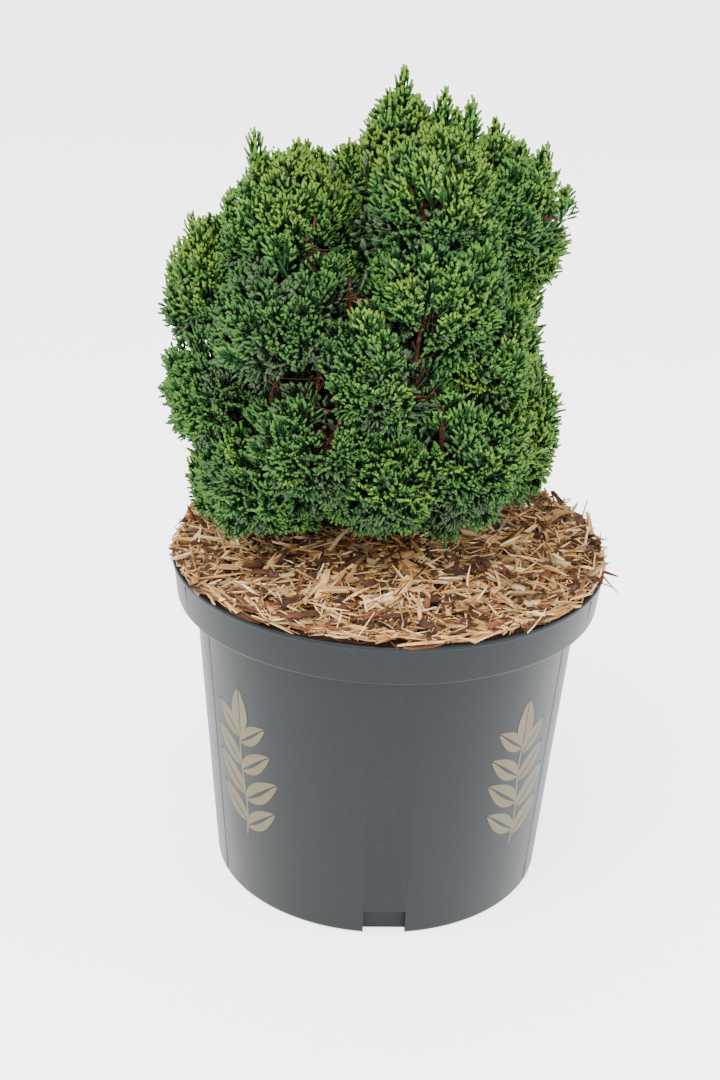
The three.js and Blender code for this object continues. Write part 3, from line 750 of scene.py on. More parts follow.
def addUpright(piles):
    # slivers that stick up, and some that lie out over the rim
    kind = strays["upright"]
    count = kind["count"]
    x, y = scatter(count, mulch["edge"] * 0.95, 0.45)
    lengths = rng.uniform(*kind["length"], count)
    widths = rng.uniform(*kind["width"], count)
    along = leaning(rng.uniform(0, 2 * math.pi, count), rng.uniform(*kind["slope"], count))
    centres = np.stack([x, y, mulchHeight(x, y) + kind["rise"] + 0.25 * lengths * along[:, 2]], -1)
    kinds = rng.choice(kind["woods"], count)
    size = (lengths, widths, widths * kind["flatness"])
    addSplits(piles, kinds, centres, along, unit(rng.normal(0, 1, (count, 3))), size, splits["slivers"])
    kind = strays["overRim"]
    count = kind["count"]
    bearing = rng.uniform(0, 2 * math.pi, count)
    lengths = rng.uniform(*kind["length"], count)
    widths = rng.uniform(*kind["width"], count)
    along = leaning(bearing + rng.normal(0, kind["turn"], count), rng.uniform(*kind["slope"], count))
    x, y = kind["radius"] * np.cos(bearing), kind["radius"] * np.sin(bearing)
    centres = np.stack([x, y, np.full(count, kind["height"])], -1)
    kinds = rng.choice(kind["woods"], count)
    size = (lengths, widths, widths * kind["flatness"])
    addSplits(piles, kinds, centres, along, np.broadcast_to(up, (count, 3)), size, splits["slivers"])
    feet = np.array([sliver[0] for sliver in rimSlivers], float)
    tips = np.array([sliver[1] for sliver in rimSlivers], float)
    widths = np.array([sliver[2] for sliver in rimSlivers])
    kinds = np.array([sliver[3] for sliver in rimSlivers])
    size = (np.linalg.norm(tips - feet, axis=1), widths, widths * 0.7)
    flat = unit(np.cross(tips - feet, [0.3, 1.0, 0.1]))
    addSplits(piles, kinds, (feet + tips) / 2, unit(tips - feet), flat, size, splits["slivers"])


def makeNuggets():
    # rough nuggets of dark bark between the chips
    pile = Pile()
    count = bark["nuggets"]
    least, spare = bark["nuggetSize"]
    x, y = scatter(count, mulch["edge"])
    size = least + spare * rng.beta(1.3, 3.0, count)
    pull = np.minimum(1, (mulch["edge"] - size) / np.hypot(x, y))
    x, y = x * pull, y * pull
    centres = np.stack([x, y, mulchHeight(x, y) + rng.uniform(*bark["nuggetRise"], count)], -1)
    stations, sides = 6, 8
    turn = rng.uniform(0, 2 * math.pi, count)
    along = np.stack([np.cos(turn), np.sin(turn), rng.normal(0, 0.3, count)], -1)
    spread = np.linspace(-1, 1, stations)
    paths = centres[:, None] + unit(along)[:, None] * (spread[None, :] * size[:, None] * 1.3)[..., None]
    girth = np.sqrt(np.clip(1.05 - spread ** 2, 0.08, 1))[None, :, None]
    radii = size[:, None, None] * girth * rng.uniform(0.6, 1.2, (count, stations, sides))
    grid = ringGrid(paths, radii, sides)
    grid[..., 2] = centres[:, None, None, 2] + (grid[..., 2] - centres[:, None, None, 2]) * bark["squash"]
    shape = count, stations, sides
    pile.add(grid.reshape(-1, 3), gridFaces(*shape), endFaces(*shape))
    pile.build("bark_nuggets", nuggetFinish("bark nuggets", "#24150e", "#4e3526"), "mulch", sharpAngle=30)


def makePlates():
    # flat plates of bark that lie between the chips
    count = bark["plates"]
    least, spare = bark["plateWidth"]
    x, y = scatter(count, mulch["edge"])
    widths = least + spare * rng.beta(1.3, 2.2, count)
    pull = np.minimum(1, (mulch["edge"] - widths / 2) / np.hypot(x, y))
    x, y = x * pull, y * pull
    centres = np.stack([x, y, mulchHeight(x, y) + rng.uniform(*bark["plateRise"], count)], -1)
    standing = unit(up + rng.normal(0, bark["plateTilt"], (count, 3)))
    turn = rng.uniform(0, 2 * math.pi, count)
    flat = unit(np.cross(standing, leaning(turn, np.zeros(count))))
    plates = {"bark": Pile()}
    lengths = rng.uniform(*bark["plateLength"], count)
    size = (lengths, widths, widths * rng.uniform(*bark["plateDepth"], count))
    addSplits(plates, np.full(count, "bark"), centres, standing, flat, size, bark["plateEnds"], sides=7)
    finish = nuggetFinish("bark plates", "#301d16", "#60402e")
    plates["bark"].build("bark_plates", finish, "mulch", sharpAngle=30)


def nuggetFinish(name, dark, light):
    finish = Finish(name)
    place = finish.place()
    coarse = finish.noise(place, 320.0, 4.0, 0.65)
    shade = finish.mix(finish.ramp(coarse, (0.35, 0.0), (0.7, 1.0)), tone(dark), tone(light))
    relief = finish.bump(coarse, 0.0010, 0.9)
    return finish.set(color=shade, roughness=0.9, normal=relief, specular=0.25)


makePeat()
makeChips()
makeNuggets()
makePlates()
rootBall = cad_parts["root_ball"]
rootBall.data.materials.clear()
rootBall.data.materials.append(peatFinish("compost"))
report("mulch made")


# The plan of the crown.

trunk = {
    "footHeight": 126.3, "tip": (2, 2, 281), "bow": (5, -9), "footRadius": 5.6, "flareRadius": 10.5,
    "flareHeight": 16, "tipRadius": 2.2, "sides": 30, "rings": 110, "ridge": 0.42,
}
bough = {
    "rootRadius": 2.4, "tipRadius": 1.4, "sides": 10, "rings": 22, "sag": 0.16, "lowestFork": 153,
    "highestFork": 262, "stagger": 8, "shortest": 15, "forkBelow": 14, "gap": 0.3, "ridge": 0.2,
}
foliage = {
    "floorHeight": 163, "floorFall": 0.2, "space": 0.8, "overlap": 6.0, "entry": 0.9,
    "stemRadius": 1.3, "stemTipRadius": 0.8, "twigRadius": 0.75, "clumpPitch": 14.0, "open": 0.7,
    "clumpDepth": 18, "clumpRadius": 8.5, "spraysPerClump": 5, "fullest": 1.01, "recess": 0.15,
    "unevenness": 0.12, "thinBelow": 0.06, "sprayLength": (15, 20), "sprayWidth": (12, 15),
    "riseHeights": (185, 290), "rise": (0.55, 0.85), "straying": 0.22, "cordRadius": 0.62,
    "shoulder": 0.74, "missing": 0.05, "deepest": 9.5, "shallowest": -20, "dimming": 0.035,
}
filler = {
    "pitch": 13.0, "open": 0.3, "scatter": 0.08, "reach": (0.70, 0.83), "lift": 0.15, "straying": 0.16,
    "length": (12, 15), "width": (12, 15), "light": (0.02, 0.10), "cordRadius": 1.0, "deepest": 16,
    "shallowest": -3,
}
core = {
    "count": 240, "height": 246, "reach": (42, 36, 54), "spread": (0.4, 1.0), "straying": 0.4,
    "spraySize": 17.0,
}
shoot = {
    "width": 9.0, "lean": 0.12, "splay": 0.35, "drop": 0.38, "aside": 2.6, "sideLength": 0.8,
    "mainLight": 0.8, "sideLight": 0.62, "lightSpread": 0.06,
}
# How light a spray's tint is: a usual level with random change from clump to clump and spray to spray, and
# painted light and shade on top of that: darker in grooves and where the crown's waves dip, lighter where it
# stands out, faces up or is high up.
lightness = {
    "usual": 0.46, "byClump": 0.12, "bySpray": 0.10, "waves": 0.16, "facingUp": 0.26, "groove": 0.9,
    "standing": 1.2, "level": 0.88, "heights": (170, 230, 320), "byHeight": (0.03, 0.0, 0.17),
    "dimmest": 0.04,
}
hollows = {"depth": 18, "dip": 0.35, "start": -5, "narrowing": 0.35}
# Stems in the hollows: how far past a hollow's end, how far aside, and the least and greatest rise.
hollowStems = {
    "foot": (4, 4, -15, -11), "fork": (0, 2, -3, 1), "head": (2, 4, 9, 14), "twigs": 3,
    "twig": (-3, 6, -5, 8), "twiglet": (-4, 7, -4, 8),
}
crownAxis = (-10, 0)

# For each mass: bearing from +X towards +Y and distance out, both from the crown's axis, the height
# of its middle, its half girth, and how much taller than wide it is.
massPlan = {
    "leader": (12, 9, 296, 20, 1.75),
    "upper_front": (307, 34, 286, 29, 1.25),
    "upper_right": (352, 43, 282, 30, 1.17),
    "upper_middle": (146, 14, 271, 31, 1.15),
    "upper_left": (203, 35, 272, 31, 1.15),
    "upper_back": (66, 35, 276, 35, 1.15),
    "upper_back_left": (131, 35, 260, 37, 1.15),
    "upper_back_right": (32, 49, 266, 34, 1.15),
    "far_right": (2, 49, 270, 27, 1.1),
    "centre_right": (321, 48, 235, 29, 1.4),
    "centre_front": (299, 47, 258, 31, 1.15),
    "middle_front": (273, 47, 233, 31, 1.35),
    "left_shoulder": (178, 56, 243, 29, 1.45),
    "centre_left": (231, 46, 246, 34, 1.15),
    "left_middle": (195, 53, 215, 34, 1.12),
    "middle_back_left": (143, 50, 240, 38, 1.1),
    "middle_back": (90, 42, 234, 40, 1.15),
    "middle_back_right": (45, 54, 238, 35, 1.15),
    "right_middle": (357, 44, 239, 25, 1.45),
    "lower_right": (354, 51, 194, 29, 1.55),
    "lower_front_right": (310, 50, 201, 34, 1.25),
    "lower_front_left": (250, 49, 207, 32, 1.25),
    "lower_front": (279, 45, 195, 32, 1.1),
    "lower_left": (220, 47, 187, 34, 1.15),
    "lower_far_left": (180, 47, 171, 30, 1.2),
    "lower_back_left": (126, 47, 193, 38, 1.1),
    "lower_back": (80, 45, 197, 38, 1.15),
    "lower_back_right": (36, 53, 199, 36, 1.2),
}

# Upright leading shoots: the mass that each grows from, where it ends, and its length.
shoots = [
    ("leader", -2, 2, 333, 20), ("leader", -7, -4, 325, 18), ("leader", 3, -4, 323, 16),
    ("leader", 14, -4, 327, 20), ("leader", -21, -5, 307, 13), ("leader", -10, 14, 312, 18),
    ("leader", 2, 12, 322, 18), ("upper_front", 23, -22, 326, 18), ("upper_front", 9, -45, 309, 20),
    ("upper_right", 33, 0, 316, 18), ("upper_right", 43, -4, 309, 16), ("upper_right", 52, -4, 308, 18),
    ("upper_right", 59, -20, 296, 12), ("upper_left", -56, -8, 310, 20),
    ("upper_left", -47, -12, 304, 15), ("upper_left", -40, -4, 306, 18), ("upper_left", -65, -8, 287, 15),
    ("upper_middle", -33, 14, 301, 17), ("upper_middle", -24, 0, 304, 17),
    ("upper_middle", -17, -5, 301, 16), ("upper_middle", -25, -8, 296, 15),
    ("upper_middle", -19, -14, 290, 15), ("upper_middle", -26, -17, 284, 14),
    ("upper_middle", -14, 4, 307, 15), ("left_shoulder", -80, 2, 276, 20),
    ("left_shoulder", -87, 0, 260, 16), ("left_middle", -75, -4, 236, 14),
    ("left_middle", -80, 4, 232, 13), ("upper_back", -4, 40, 318, 19), ("upper_back", 20, 36, 314, 18),
    ("upper_back_left", -38, 34, 299, 19), ("upper_back_left", -52, 26, 290, 17),
    ("upper_back_left", -34, 54, 272, 17), ("upper_back_right", 36, 40, 300, 18),
    ("upper_back_right", 48, 30, 297, 17),
]

# Breaks in the leaf cover where stems show: a point on the crown's skin and how wide the break is.
windows = np.array([
    (10, -54, 296, 7), (-40, -52, 278, 5), (-23, -62, 261, 6), (-35, -67, 234, 7), (-55, -62, 232, 7),
    (-28, -74, 222, 6), (11, -70, 257, 6), (12, -72, 243, 6), (12, -72, 231, 8), (24, -72, 222, 6),
    (55, 40, 262, 4), (20, 76, 240, 8), (-30, 78, 226, 8), (-72, 40, 222, 7), (-20, 62, 262, 7),
    (62, 22, 226, 5), (50, 62, 214, 3), (-84, 8, 228, 6), (0, 80, 205, 6), (66, -6, 244, 5),
], float)

# Patches of painted light and shade on the leaves: a point, how far that spreads, and by how much.
paintedLightPatches = np.array([
    (-42, -30, 265, 22, -0.25), (-61, -25, 237, 16, -0.18), (-29, -60, 259, 14, -0.18),
    (-6, -25, 292, 10, -0.25), (26, -50, 175, 12, -0.10), (-22, -5, 292, 12, 0.30),
    (-39, -12, 302, 12, 0.25), (-72, 0, 268, 10, 0.20), (7, 0, 315, 14, 0.15), (62, 0, 281, 14, 0.20),
    (40, -25, 239, 16, 0.18), (42, -30, 217, 18, 0.20), (55, -15, 183, 18, 0.25),
    (-23, -60, 209, 12, 0.12), (28, -55, 198, 14, 0.10), (-2, -5, 313, 13, 0.30),
    (17, -15, 315, 12, 0.45), (-43, -12, 300, 16, 0.30), (-22, 2, 292, 14, 0.40),
    (-7, -28, 286, 11, -0.20), (-76, 0, 270, 12, 0.45), (49, -2, 261, 10, 0.40), (36, -12, 243, 15, 0.16),
    (37, -14, 217, 17, 0.20), (-59, -20, 249, 18, -0.10), (-41, -45, 247, 16, -0.08),
    (-60, -22, 221, 14, -0.10), (-44, -52, 208, 13, -0.22), (-33, -30, 266, 10, -0.16),
    (6, -48, 271, 10, -0.12), (-27, -60, 226, 10, 0.10),
])


def trunkPath(count=400):
    # a centripetal Catmull-Rom curve through four points, then cut into equal steps
    foot = np.array([*trunkFoot, trunk["footHeight"]])
    tip = np.array(trunk["tip"], float)
    middle = (foot + tip) / 2 + np.array([*trunk["bow"], 12])
    points = [foot, foot + up * 22, middle, tip]
    points = [2 * points[0] - points[1], *points, 2 * points[-1] - points[-2]]
    stretches = []
    for p0, p1, p2, p3 in zip(points, points[1:], points[2:], points[3:]):
        t0, t1, t2 = (math.sqrt(np.linalg.norm(b - a)) for a, b in ((p0, p1), (p1, p2), (p2, p3)))
        leave = ((p1 - p0) / t0 - (p2 - p0) / (t0 + t1) + (p2 - p1) / t1) * t1
        arrive = ((p2 - p1) / t1 - (p3 - p1) / (t1 + t2) + (p3 - p2) / t2) * t1
        s = np.linspace(0, 1, count)[:, None]
        stretches.append((2 * s ** 3 - 3 * s ** 2 + 1) * p1 + (s ** 3 - 2 * s ** 2 + s) * leave
                         + (3 * s ** 2 - 2 * s ** 3) * p2 + (s ** 3 - s ** 2) * arrive)
    line = np.concatenate([stretches[0], *[stretch[1:] for stretch in stretches[1:]]])
    run = np.concatenate([[0], np.cumsum(np.linalg.norm(np.diff(line, axis=0), axis=1))])
    even = np.linspace(0, run[-1], count)
    return np.stack([np.interp(even, run, line[:, axis]) for axis in range(3)], -1)


trunkLine = trunkPath()
trunkTangents = unit(np.gradient(trunkLine, axis=0))


def trunkRadius(share):
    flare = np.exp(-(share * (trunk["tip"][2] - trunk["footHeight"])) / trunk["flareHeight"])
    straight = trunk["footRadius"] + (trunk["tipRadius"] - trunk["footRadius"]) * share
    return straight + (trunk["flareRadius"] - trunk["footRadius"]) * flare


class Mass:
    def __init__(self, index, name, plan):
        bearing, out, height, self.girth, tall = plan
        turn = math.radians(bearing)
        x, y = crownAxis[0] + out * math.cos(turn), crownAxis[1] + out * math.sin(turn)
        self.index = index
        self.name = name
        self.out = out
        self.rise = self.girth * tall
        self.centre = np.array([x, y, height])

    def egg(self, directions):
        # how far the mass's own egg shape reaches
        across = np.hypot(directions[..., 0], directions[..., 1]) / self.girth
        return 1 / np.hypot(across, directions[..., 2] / self.rise)

    def reach(self, directions, overlap=0.0):
        # the egg, less what belongs to the neighbours and the mulch; leaves may overlap a neighbour
        own = np.minimum(self.egg(directions), self.freeRun(directions, slice(1, None), overlap))
        return np.minimum(own, self.freeRun(directions, slice(0, 1), 0.0))

    def freeRun(self, directions, chosen, overlap):
        facing = directions @ self.normals[chosen].T
        ahead = facing > 1e-6
        limits = np.where(ahead, (self.distances[chosen] + overlap) / np.where(ahead, facing, 1), np.inf)
        return limits.min(axis=-1)

    def depthOf(self, points):
        # how far points lie inside the egg's skin
        offset = points - self.centre
        share = np.hypot(np.hypot(offset[:, 0], offset[:, 1]) / self.girth, offset[:, 2] / self.rise)
        return (1 - share) * self.girth

    def openness(self, directions):
        # 1 where no neighbour limits the mass
        return np.minimum(1, self.freeRun(directions, slice(1, None), 0.0) / self.egg(directions))

    def floorWall(self):
        # foliage keeps off the mulch: its floor falls outward as the mound does
        flat = self.centre * [1, 1, 0]
        past = np.linalg.norm(flat) - mulch["crestRadius"]
        normal = -(up + foliage["floorFall"] * unit(flat))
        steepness = np.linalg.norm(normal)
        drop = self.centre[2] + foliage["floorFall"] * past - foliage["floorHeight"]
        return normal / steepness, drop / steepness

    def setWalls(self, masses):
        normal, distance = self.floorWall()
        normals = [normal]
        distances = [distance]
        for other in masses:
            if other is self:
                continue
            span = np.linalg.norm(other.centre - self.centre)
            normal = (other.centre - self.centre) / span
            own, theirs = self.egg(normal), other.egg(normal)
            normals.append(normal)
            distances.append(span * own / (own + theirs) - foliage["space"] / 2)
        self.normals = np.array(normals)
        self.distances = np.array(distances)

    def setEntry(self):
        # the bough forks off lower than its mass and enters it on the side that faces the fork
        if self.name == "leader":
            self.fork = None
            self.entry = trunkLine[-1]
            return
        wanted = self.centre[2] - self.out / 2 - bough["forkBelow"]
        highest = bough["highestFork"] - bough["stagger"]
        self.fork = min(max(wanted, bough["lowestFork"]), highest) + (self.index % 2) * bough["stagger"]
        self.forkAt = int(np.argmin(np.abs(trunkLine[:, 2] - self.fork)))
        span = np.linalg.norm(trunkLine[self.forkAt] - self.centre)
        inward = (trunkLine[self.forkAt] - self.centre) / span
        depth = min(foliage["entry"] * self.reach(inward), span - bough["shortest"])
        self.entry = self.centre + inward * depth

    def boughCurve(self):
        centre = trunkLine[self.forkAt]
        along = trunkTangents[self.forkAt]
        aim = self.entry - centre
        side = unit(aim - along * (aim @ along))
        skin = centre + side * (trunkRadius(self.forkAt / (len(trunkLine) - 1)) + bough["gap"])
        bow = bough["sag"] * np.linalg.norm(aim)
        middle = (skin + self.entry) / 2 - up * bow + side * bow * 0.5
        start = unit(middle - skin)
        root = skin + side * bough["rootRadius"] * math.sqrt(1 - (start @ side) ** 2)
        return root, middle, self.entry

    def stemCurve(self):
        return self.entry, self.centre, self.centre + up * 0.3 * self.reach(up)


masses = [Mass(index, name, plan) for index, (name, plan) in enumerate(massPlan.items())]
for mass in masses:
    mass.setWalls(masses)
    mass.setEntry()


# Trunk and boughs.

def barkRidges(stations, sides, lengthSeed, strength):
    # stringy bark: ridges that run along the limb, wander and fade
    angle = np.arange(sides) / sides * 2 * math.pi
    run = np.arange(stations)[:, None] * 0.16 + lengthSeed
    ridges = np.sin(angle * 7 + 1.4 * np.sin(run)) + 0.7 * np.sin(angle * 12 - 1.9 * np.sin(run * 0.7 + 2))
    knots = np.sin(run * 2.3 + 2 * np.sin(angle * 2))
    return strength * (0.6 * ridges + 0.35 * knots)


def makeTrunk():
    pile = Pile()
    rings, sides = trunk["rings"], trunk["sides"]
    steps = np.linspace(0, len(trunkLine) - 1, rings).astype(int)
    share = steps / (len(trunkLine) - 1)
    radii = trunkRadius(share)[:, None] + barkRidges(rings, sides, 0.4, trunk["ridge"])
    toes = 1 + 0.22 * np.exp(-share * 14)[:, None] * np.sin(np.arange(sides) / sides * 2 * math.pi * 5 + 1)
    grid = ringGrid(trunkLine[steps][None], (radii * toes)[None], sides)
    grid[0, :, :, 2] = np.maximum(grid[0, :, :, 2], trunk["footHeight"])
    pile.add(grid.reshape(-1, 3), gridFaces(1, rings, sides), np.arange(sides)[None, ::-1])
    addCaps(pile, grid[:, -1], trunkLine[None, -1] + up)
    pile.build("trunk_bark", barkFinish("trunk bark", "#5b3522", "#8a5a3c"), "bark", ["trunk"])


def makeBoughs():
    pile = Pile()
    rings, sides = bough["rings"], bough["sides"]
    shares = np.linspace(0, 1, rings)
    for mass in masses:
        if mass.fork is None:
            continue
        path = bezier(*mass.boughCurve(), shares)
        radii = bough["rootRadius"] + (bough["tipRadius"] - bough["rootRadius"]) * shares[:, None]
        radii = radii + barkRidges(rings, sides, mass.index, bough["ridge"])
        grid = ringGrid(path[None], radii[None], sides)
        pile.add(grid.reshape(-1, 3), gridFaces(1, rings, sides), np.arange(sides)[None, ::-1])
        addCaps(pile, grid[:, -1], path[None, -1] + unit(path[-1] - path[-2]))
    pile.build("bough_bark", barkFinish("bough bark", "#5f3420", "#96593a"), "bark", boughNodes)


def barkFinish(name, dark, light):
    finish = Finish(name)
    place = finish.place()
    strings = finish.noise(finish.stretched(place, (1.0, 1.0, 0.16)), 900.0, 4.0, 0.65)
    flakes = finish.noise(place, 260.0, 3.0)
    shade = finish.mix(finish.ramp(strings, (0.35, 0.0), (0.68, 1.0)), tone(dark), tone(light))
    shade = finish.mix(finish.ramp(flakes, (0.58, 0.0), (0.75, 0.6)), shade, tone("#a98a6c"))
    relief = finish.bump(strings, 0.0008, 0.9)
    return finish.set(color=shade, roughness=0.88, normal=relief, specular=0.25)


makeTrunk()
makeBoughs()
report("trunk and boughs made")


# Foliage: stems, twigs, sprays and branchlets.

def turned(vectors, axes, angles):
    # vectors turned about unit axes
    c, s = np.cos(angles)[..., None], np.sin(angles)[..., None]
    dot = (vectors * axes).sum(-1, keepdims=True)
    return vectors * c + np.cross(axes, vectors) * s + axes * dot * (1 - c)


class Sprays:
    # what is known of each spray, gathered mass by mass
    def __init__(self):
        self.columns = {name: [] for name in ("axis", "face", "length", "width", "light", "root")}

    def add(self, **values):
        for name, column in self.columns.items():
            column.append(values[name])

    def close(self, deepest, shallowest):
        # sprays that would cover a window, be buried in the crown or stand too far out are left out
        whole = {name: np.concatenate(column) for name, column in self.columns.items()}
        tips = whole["root"] + whole["axis"] * whole["length"][:, None]
        kept = ~(inHollow(tips) | inHollow((tips + whole["root"]) / 2))
        buried = np.max([mass.depthOf(tips) for mass in masses], axis=0)
        kept &= (buried < deepest) & (buried > shallowest)
        # sprays buried deeper get darker tints: painted shade
        whole["light"] = whole["light"] - foliage["dimming"] * np.maximum(buried - 3, 0)
        for name, column in whole.items():
            setattr(self, name, column[kept])


def hollowAxes():
    # a hollow runs from its window towards the trunk and a little downward
    inward = unit(np.array([*crownAxis, 0.0]) - windows[:, :3] * [1, 1, 0])
    return unit(inward - hollows["dip"] * up)


def inHollow(points):
    offset = points[:, None] - windows[:, :3]
    along = (offset * hollowAxes()).sum(-1)
    aside = np.linalg.norm(offset - along[..., None] * hollowAxes(), axis=-1)
    depth = hollows["depth"]
    narrowing = 1 - hollows["narrowing"] * np.clip(along / depth, 0, 1)
    within = (along > hollows["start"]) & (along < depth)
    return (within & (aside < windows[:, 3] * narrowing)).any(axis=1)


def unevenness(points):
    # a smooth rise and fall over the crown, from -1 to 1
    x, y, z = points[..., 0], points[..., 1], points[..., 2]
    waves = (np.sin(x * 0.13 + 1.7 * np.sin(z * 0.07)) + np.sin(y * 0.15 + z * 0.09 + 1.0)
             + np.sin(z * 0.17 - x * 0.06 + 1.3 * np.sin(y * 0.08)))
    return waves / 3


def paintedPatchLight(points):
    # the painted light and shade that the patches add at each point
    offset = points[..., None, :] - paintedLightPatches[:, :3]
    share = np.linalg.norm(offset, axis=-1) / paintedLightPatches[:, 3]
    return (paintedLightPatches[:, 4] * np.exp(-0.5 * share ** 2)).sum(-1)


def goldenDirections(count, first=0.0):
    order = np.arange(count)
    lift = 1 - 2 * (order + 0.5) / count
    flat = np.sqrt(1 - lift ** 2)
    turn = order * goldenAngle + first
    return np.stack([flat * np.cos(turn), flat * np.sin(turn), lift], -1)


def skinArea(mass):
    return 4 * math.pi * mass.girth ** (4 / 3) * mass.rise ** (2 / 3)


def growClumps(mass, twigPile, sprays):
    # twigs leave the stem by the golden angle; each ends in a clump of sprays that reach the mass's skin
    directions = goldenDirections(round(skinArea(mass) / foliage["clumpPitch"] ** 2), rng.uniform(0, 6.28))
    directions = unit(directions + rng.normal(0, 0.05, directions.shape))
    directions = directions[mass.openness(directions) >= foliage["open"]]
    clumps = len(directions)
    reach = mass.reach(directions, foliage["overlap"])
    waves = unevenness(mass.centre + directions * reach[:, None])
    hollow = foliage["unevenness"] * (0.5 - 0.5 * waves)
    prominence = foliage["fullest"] - hollow - foliage["recess"] * rng.beta(1.2, 2.0, clumps)
    foot = mass.centre + directions * np.maximum(reach * prominence - foliage["clumpDepth"], 2)[:, None]
    stemPoints = bezier(*mass.stemCurve(), rng.uniform(0.35, 0.9, clumps))
    addTwigs(twigPile, stemPoints, foot, foliage["twigRadius"], 0.55, 4)

    perClump = foliage["spraysPerClump"]
    order = np.arange(perClump)
    out = foliage["clumpRadius"] * np.sqrt((order + 0.15) / perClump)
    turn = order * goldenAngle + rng.uniform(0, 6.28, (clumps, 1)) + rng.normal(0, 0.25, (clumps, perClump))
    sideways = unit(np.cross(directions, up) + 1e-4)
    upward = np.cross(sideways, directions)
    offset = (np.cos(turn)[..., None] * sideways[:, None] + np.sin(turn)[..., None] * upward[:, None])
    offset = offset * (out * rng.uniform(0.8, 1.2, (clumps, perClump)))[..., None]
    aims = unit(directions[:, None] * reach[:, None, None] + offset)
    domed = 1 - 0.08 * (out / foliage["clumpRadius"]) ** 2
    height = prominence[:, None] * domed * rng.uniform(0.94, 1.0, (clumps, perClump))
    height = height * (1 - foliage["thinBelow"] * np.clip(-aims[..., 2], 0, 1))
    tips = mass.centre + aims * (mass.reach(aims, foliage["overlap"]) * height)[..., None]
    clumpFeet = np.broadcast_to(foot[:, None], tips.shape)
    rise = np.interp(tips[..., 2:], foliage["riseHeights"], foliage["rise"])
    rise = rise * np.clip((aims[..., 2:] + 0.8) / 0.8, 0, 1)
    axis = unit(unit(tips - clumpFeet) + rise * up + rng.normal(0, foliage["straying"], tips.shape))
    length = np.minimum(rng.uniform(*foliage["sprayLength"], (clumps, perClump)),
                        np.linalg.norm(tips - clumpFeet, axis=-1))
    tangential = unit(np.cross(axis, directions[:, None] + 0.01))
    face = turned(np.cross(axis, tangential), axis, rng.normal(0, 0.6, (clumps, perClump)))
    # the spray's lightness picks its tint: random tone, plus painted light where it is high up, faces up or
    # stands out, and painted shade in grooves, dips and the darker patches
    clumpLight = rng.normal(0, lightness["byClump"], (clumps, 1)) + lightness["waves"] * waves[:, None]
    sunward = np.interp(tips[..., 2], lightness["heights"], lightness["byHeight"])
    light = (lightness["usual"] + clumpLight + sunward + paintedPatchLight(tips)
             + rng.normal(0, lightness["bySpray"], (clumps, perClump))
             + lightness["facingUp"] * aims[..., 2] - lightness["groove"] * (1 - mass.openness(aims))
             + lightness["standing"] * (height - lightness["level"]))
    light = np.maximum(light, lightness["dimmest"])
    root = tips - axis * length[..., None]
    sprays.add(
        axis=axis.reshape(-1, 3), face=face.reshape(-1, 3), length=length.ravel(),
        width=rng.uniform(*foliage["sprayWidth"], clumps * perClump), light=light.ravel(),
        root=root.reshape(-1, 3),
    )
    addTwigs(twigPile, clumpFeet.reshape(-1, 3), root.reshape(-1, 3), 0.5, 0.45, 3)


def growShoots(mass, twigPile, sprays):
    # each leading shoot is two narrow sprays that cross, with three shorter ones round its foot
    for owner, x, y, z, size in shoots:
        if owner != mass.name:
            continue
        tip = np.array([x, y, z], float)
        lean = unit((tip - mass.centre) * [1, 1, 0.2])
        turn = rng.uniform(0, 2 * math.pi) + np.arange(3) / 3 * 2 * math.pi
        around = np.stack([np.cos(turn), np.sin(turn), np.zeros(3)], -1)
        main = unit(up + shoot["lean"] * lean)
        axis = np.concatenate([[main, main], unit(main + shoot["splay"] * around)])
        tips = np.concatenate([[tip, tip], tip - main * size * shoot["drop"] + around * shoot["aside"]])
        length = np.array([size] * 2 + [size * shoot["sideLength"]] * 3)
        root = tips - axis * length[:, None]
        across = unit(np.cross(axis, np.concatenate([[[1.0, 0.3, 0.0]], [[-0.3, 1.0, 0.0]], around])))
        light = np.array([shoot["mainLight"]] * 2 + [shoot["sideLight"]] * 3)
        light = light + rng.normal(0, shoot["lightSpread"], 5)
        width = shoot["width"] * np.array([1.0, 0.9, 1.2, 1.2, 1.2])
        sprays.add(axis=axis, face=across, length=length, width=width, light=light, root=root)
        inner = mass.centre + (root[:1] - mass.centre) * 0.55
        addTwigs(twigPile, inner, root[:1], 0.7, 0.5, 4)


def growFillers(mass, twigPile, sprays):
    # sprays deeper in, also along the grooves between masses; their dark tints are painted shade
    aims = goldenDirections(round(skinArea(mass) / filler["pitch"] ** 2), mass.index)
    aims = unit(aims + rng.normal(0, filler["scatter"], aims.shape))
    aims = aims[mass.openness(aims) > filler["open"]]
    count = len(aims)
    tips = mass.centre + aims * (mass.reach(aims) * rng.uniform(*filler["reach"], count))[:, None]
    axis = unit(aims + filler["lift"] * up + rng.normal(0, filler["straying"], aims.shape))
    length = rng.uniform(*filler["length"], count)
    face = turned(unit(np.cross(axis, up) + 1e-4), axis, rng.uniform(0, math.pi, count))
    root = tips - axis * length[:, None]
    width = rng.uniform(*filler["width"], count)
    # a low lightness gives them the shade tint: painted shade
    least, spare = filler["light"]
    light = least + spare * rng.uniform(0, 1, count)
    sprays.add(axis=axis, face=face, length=length, width=width, light=light, root=root)
    stem = bezier(*mass.stemCurve(), rng.uniform(0.3, 0.9, count))
    addTwigs(twigPile, stem, root, 0.6, 0.45, 3)


def growCore(sprays):
    # dark sprays round the trunk, so that no daylight shows through the crown
    count = core["count"]
    aims = goldenDirections(count)
    middle = np.array([*crownAxis, core["height"]])
    root = middle + aims * np.array(core["reach"]) * rng.uniform(*core["spread"], (count, 1))
    axis = unit(aims + rng.normal(0, core["straying"], aims.shape))
    face = unit(np.cross(axis, up) + 1e-4)
    size = np.full(count, core["spraySize"])
    # a lightness of nothing gives them the inner tint, painted light in the crown's dark inside
    sprays.add(axis=axis, face=face, length=size, width=size, light=np.zeros(count), root=root)


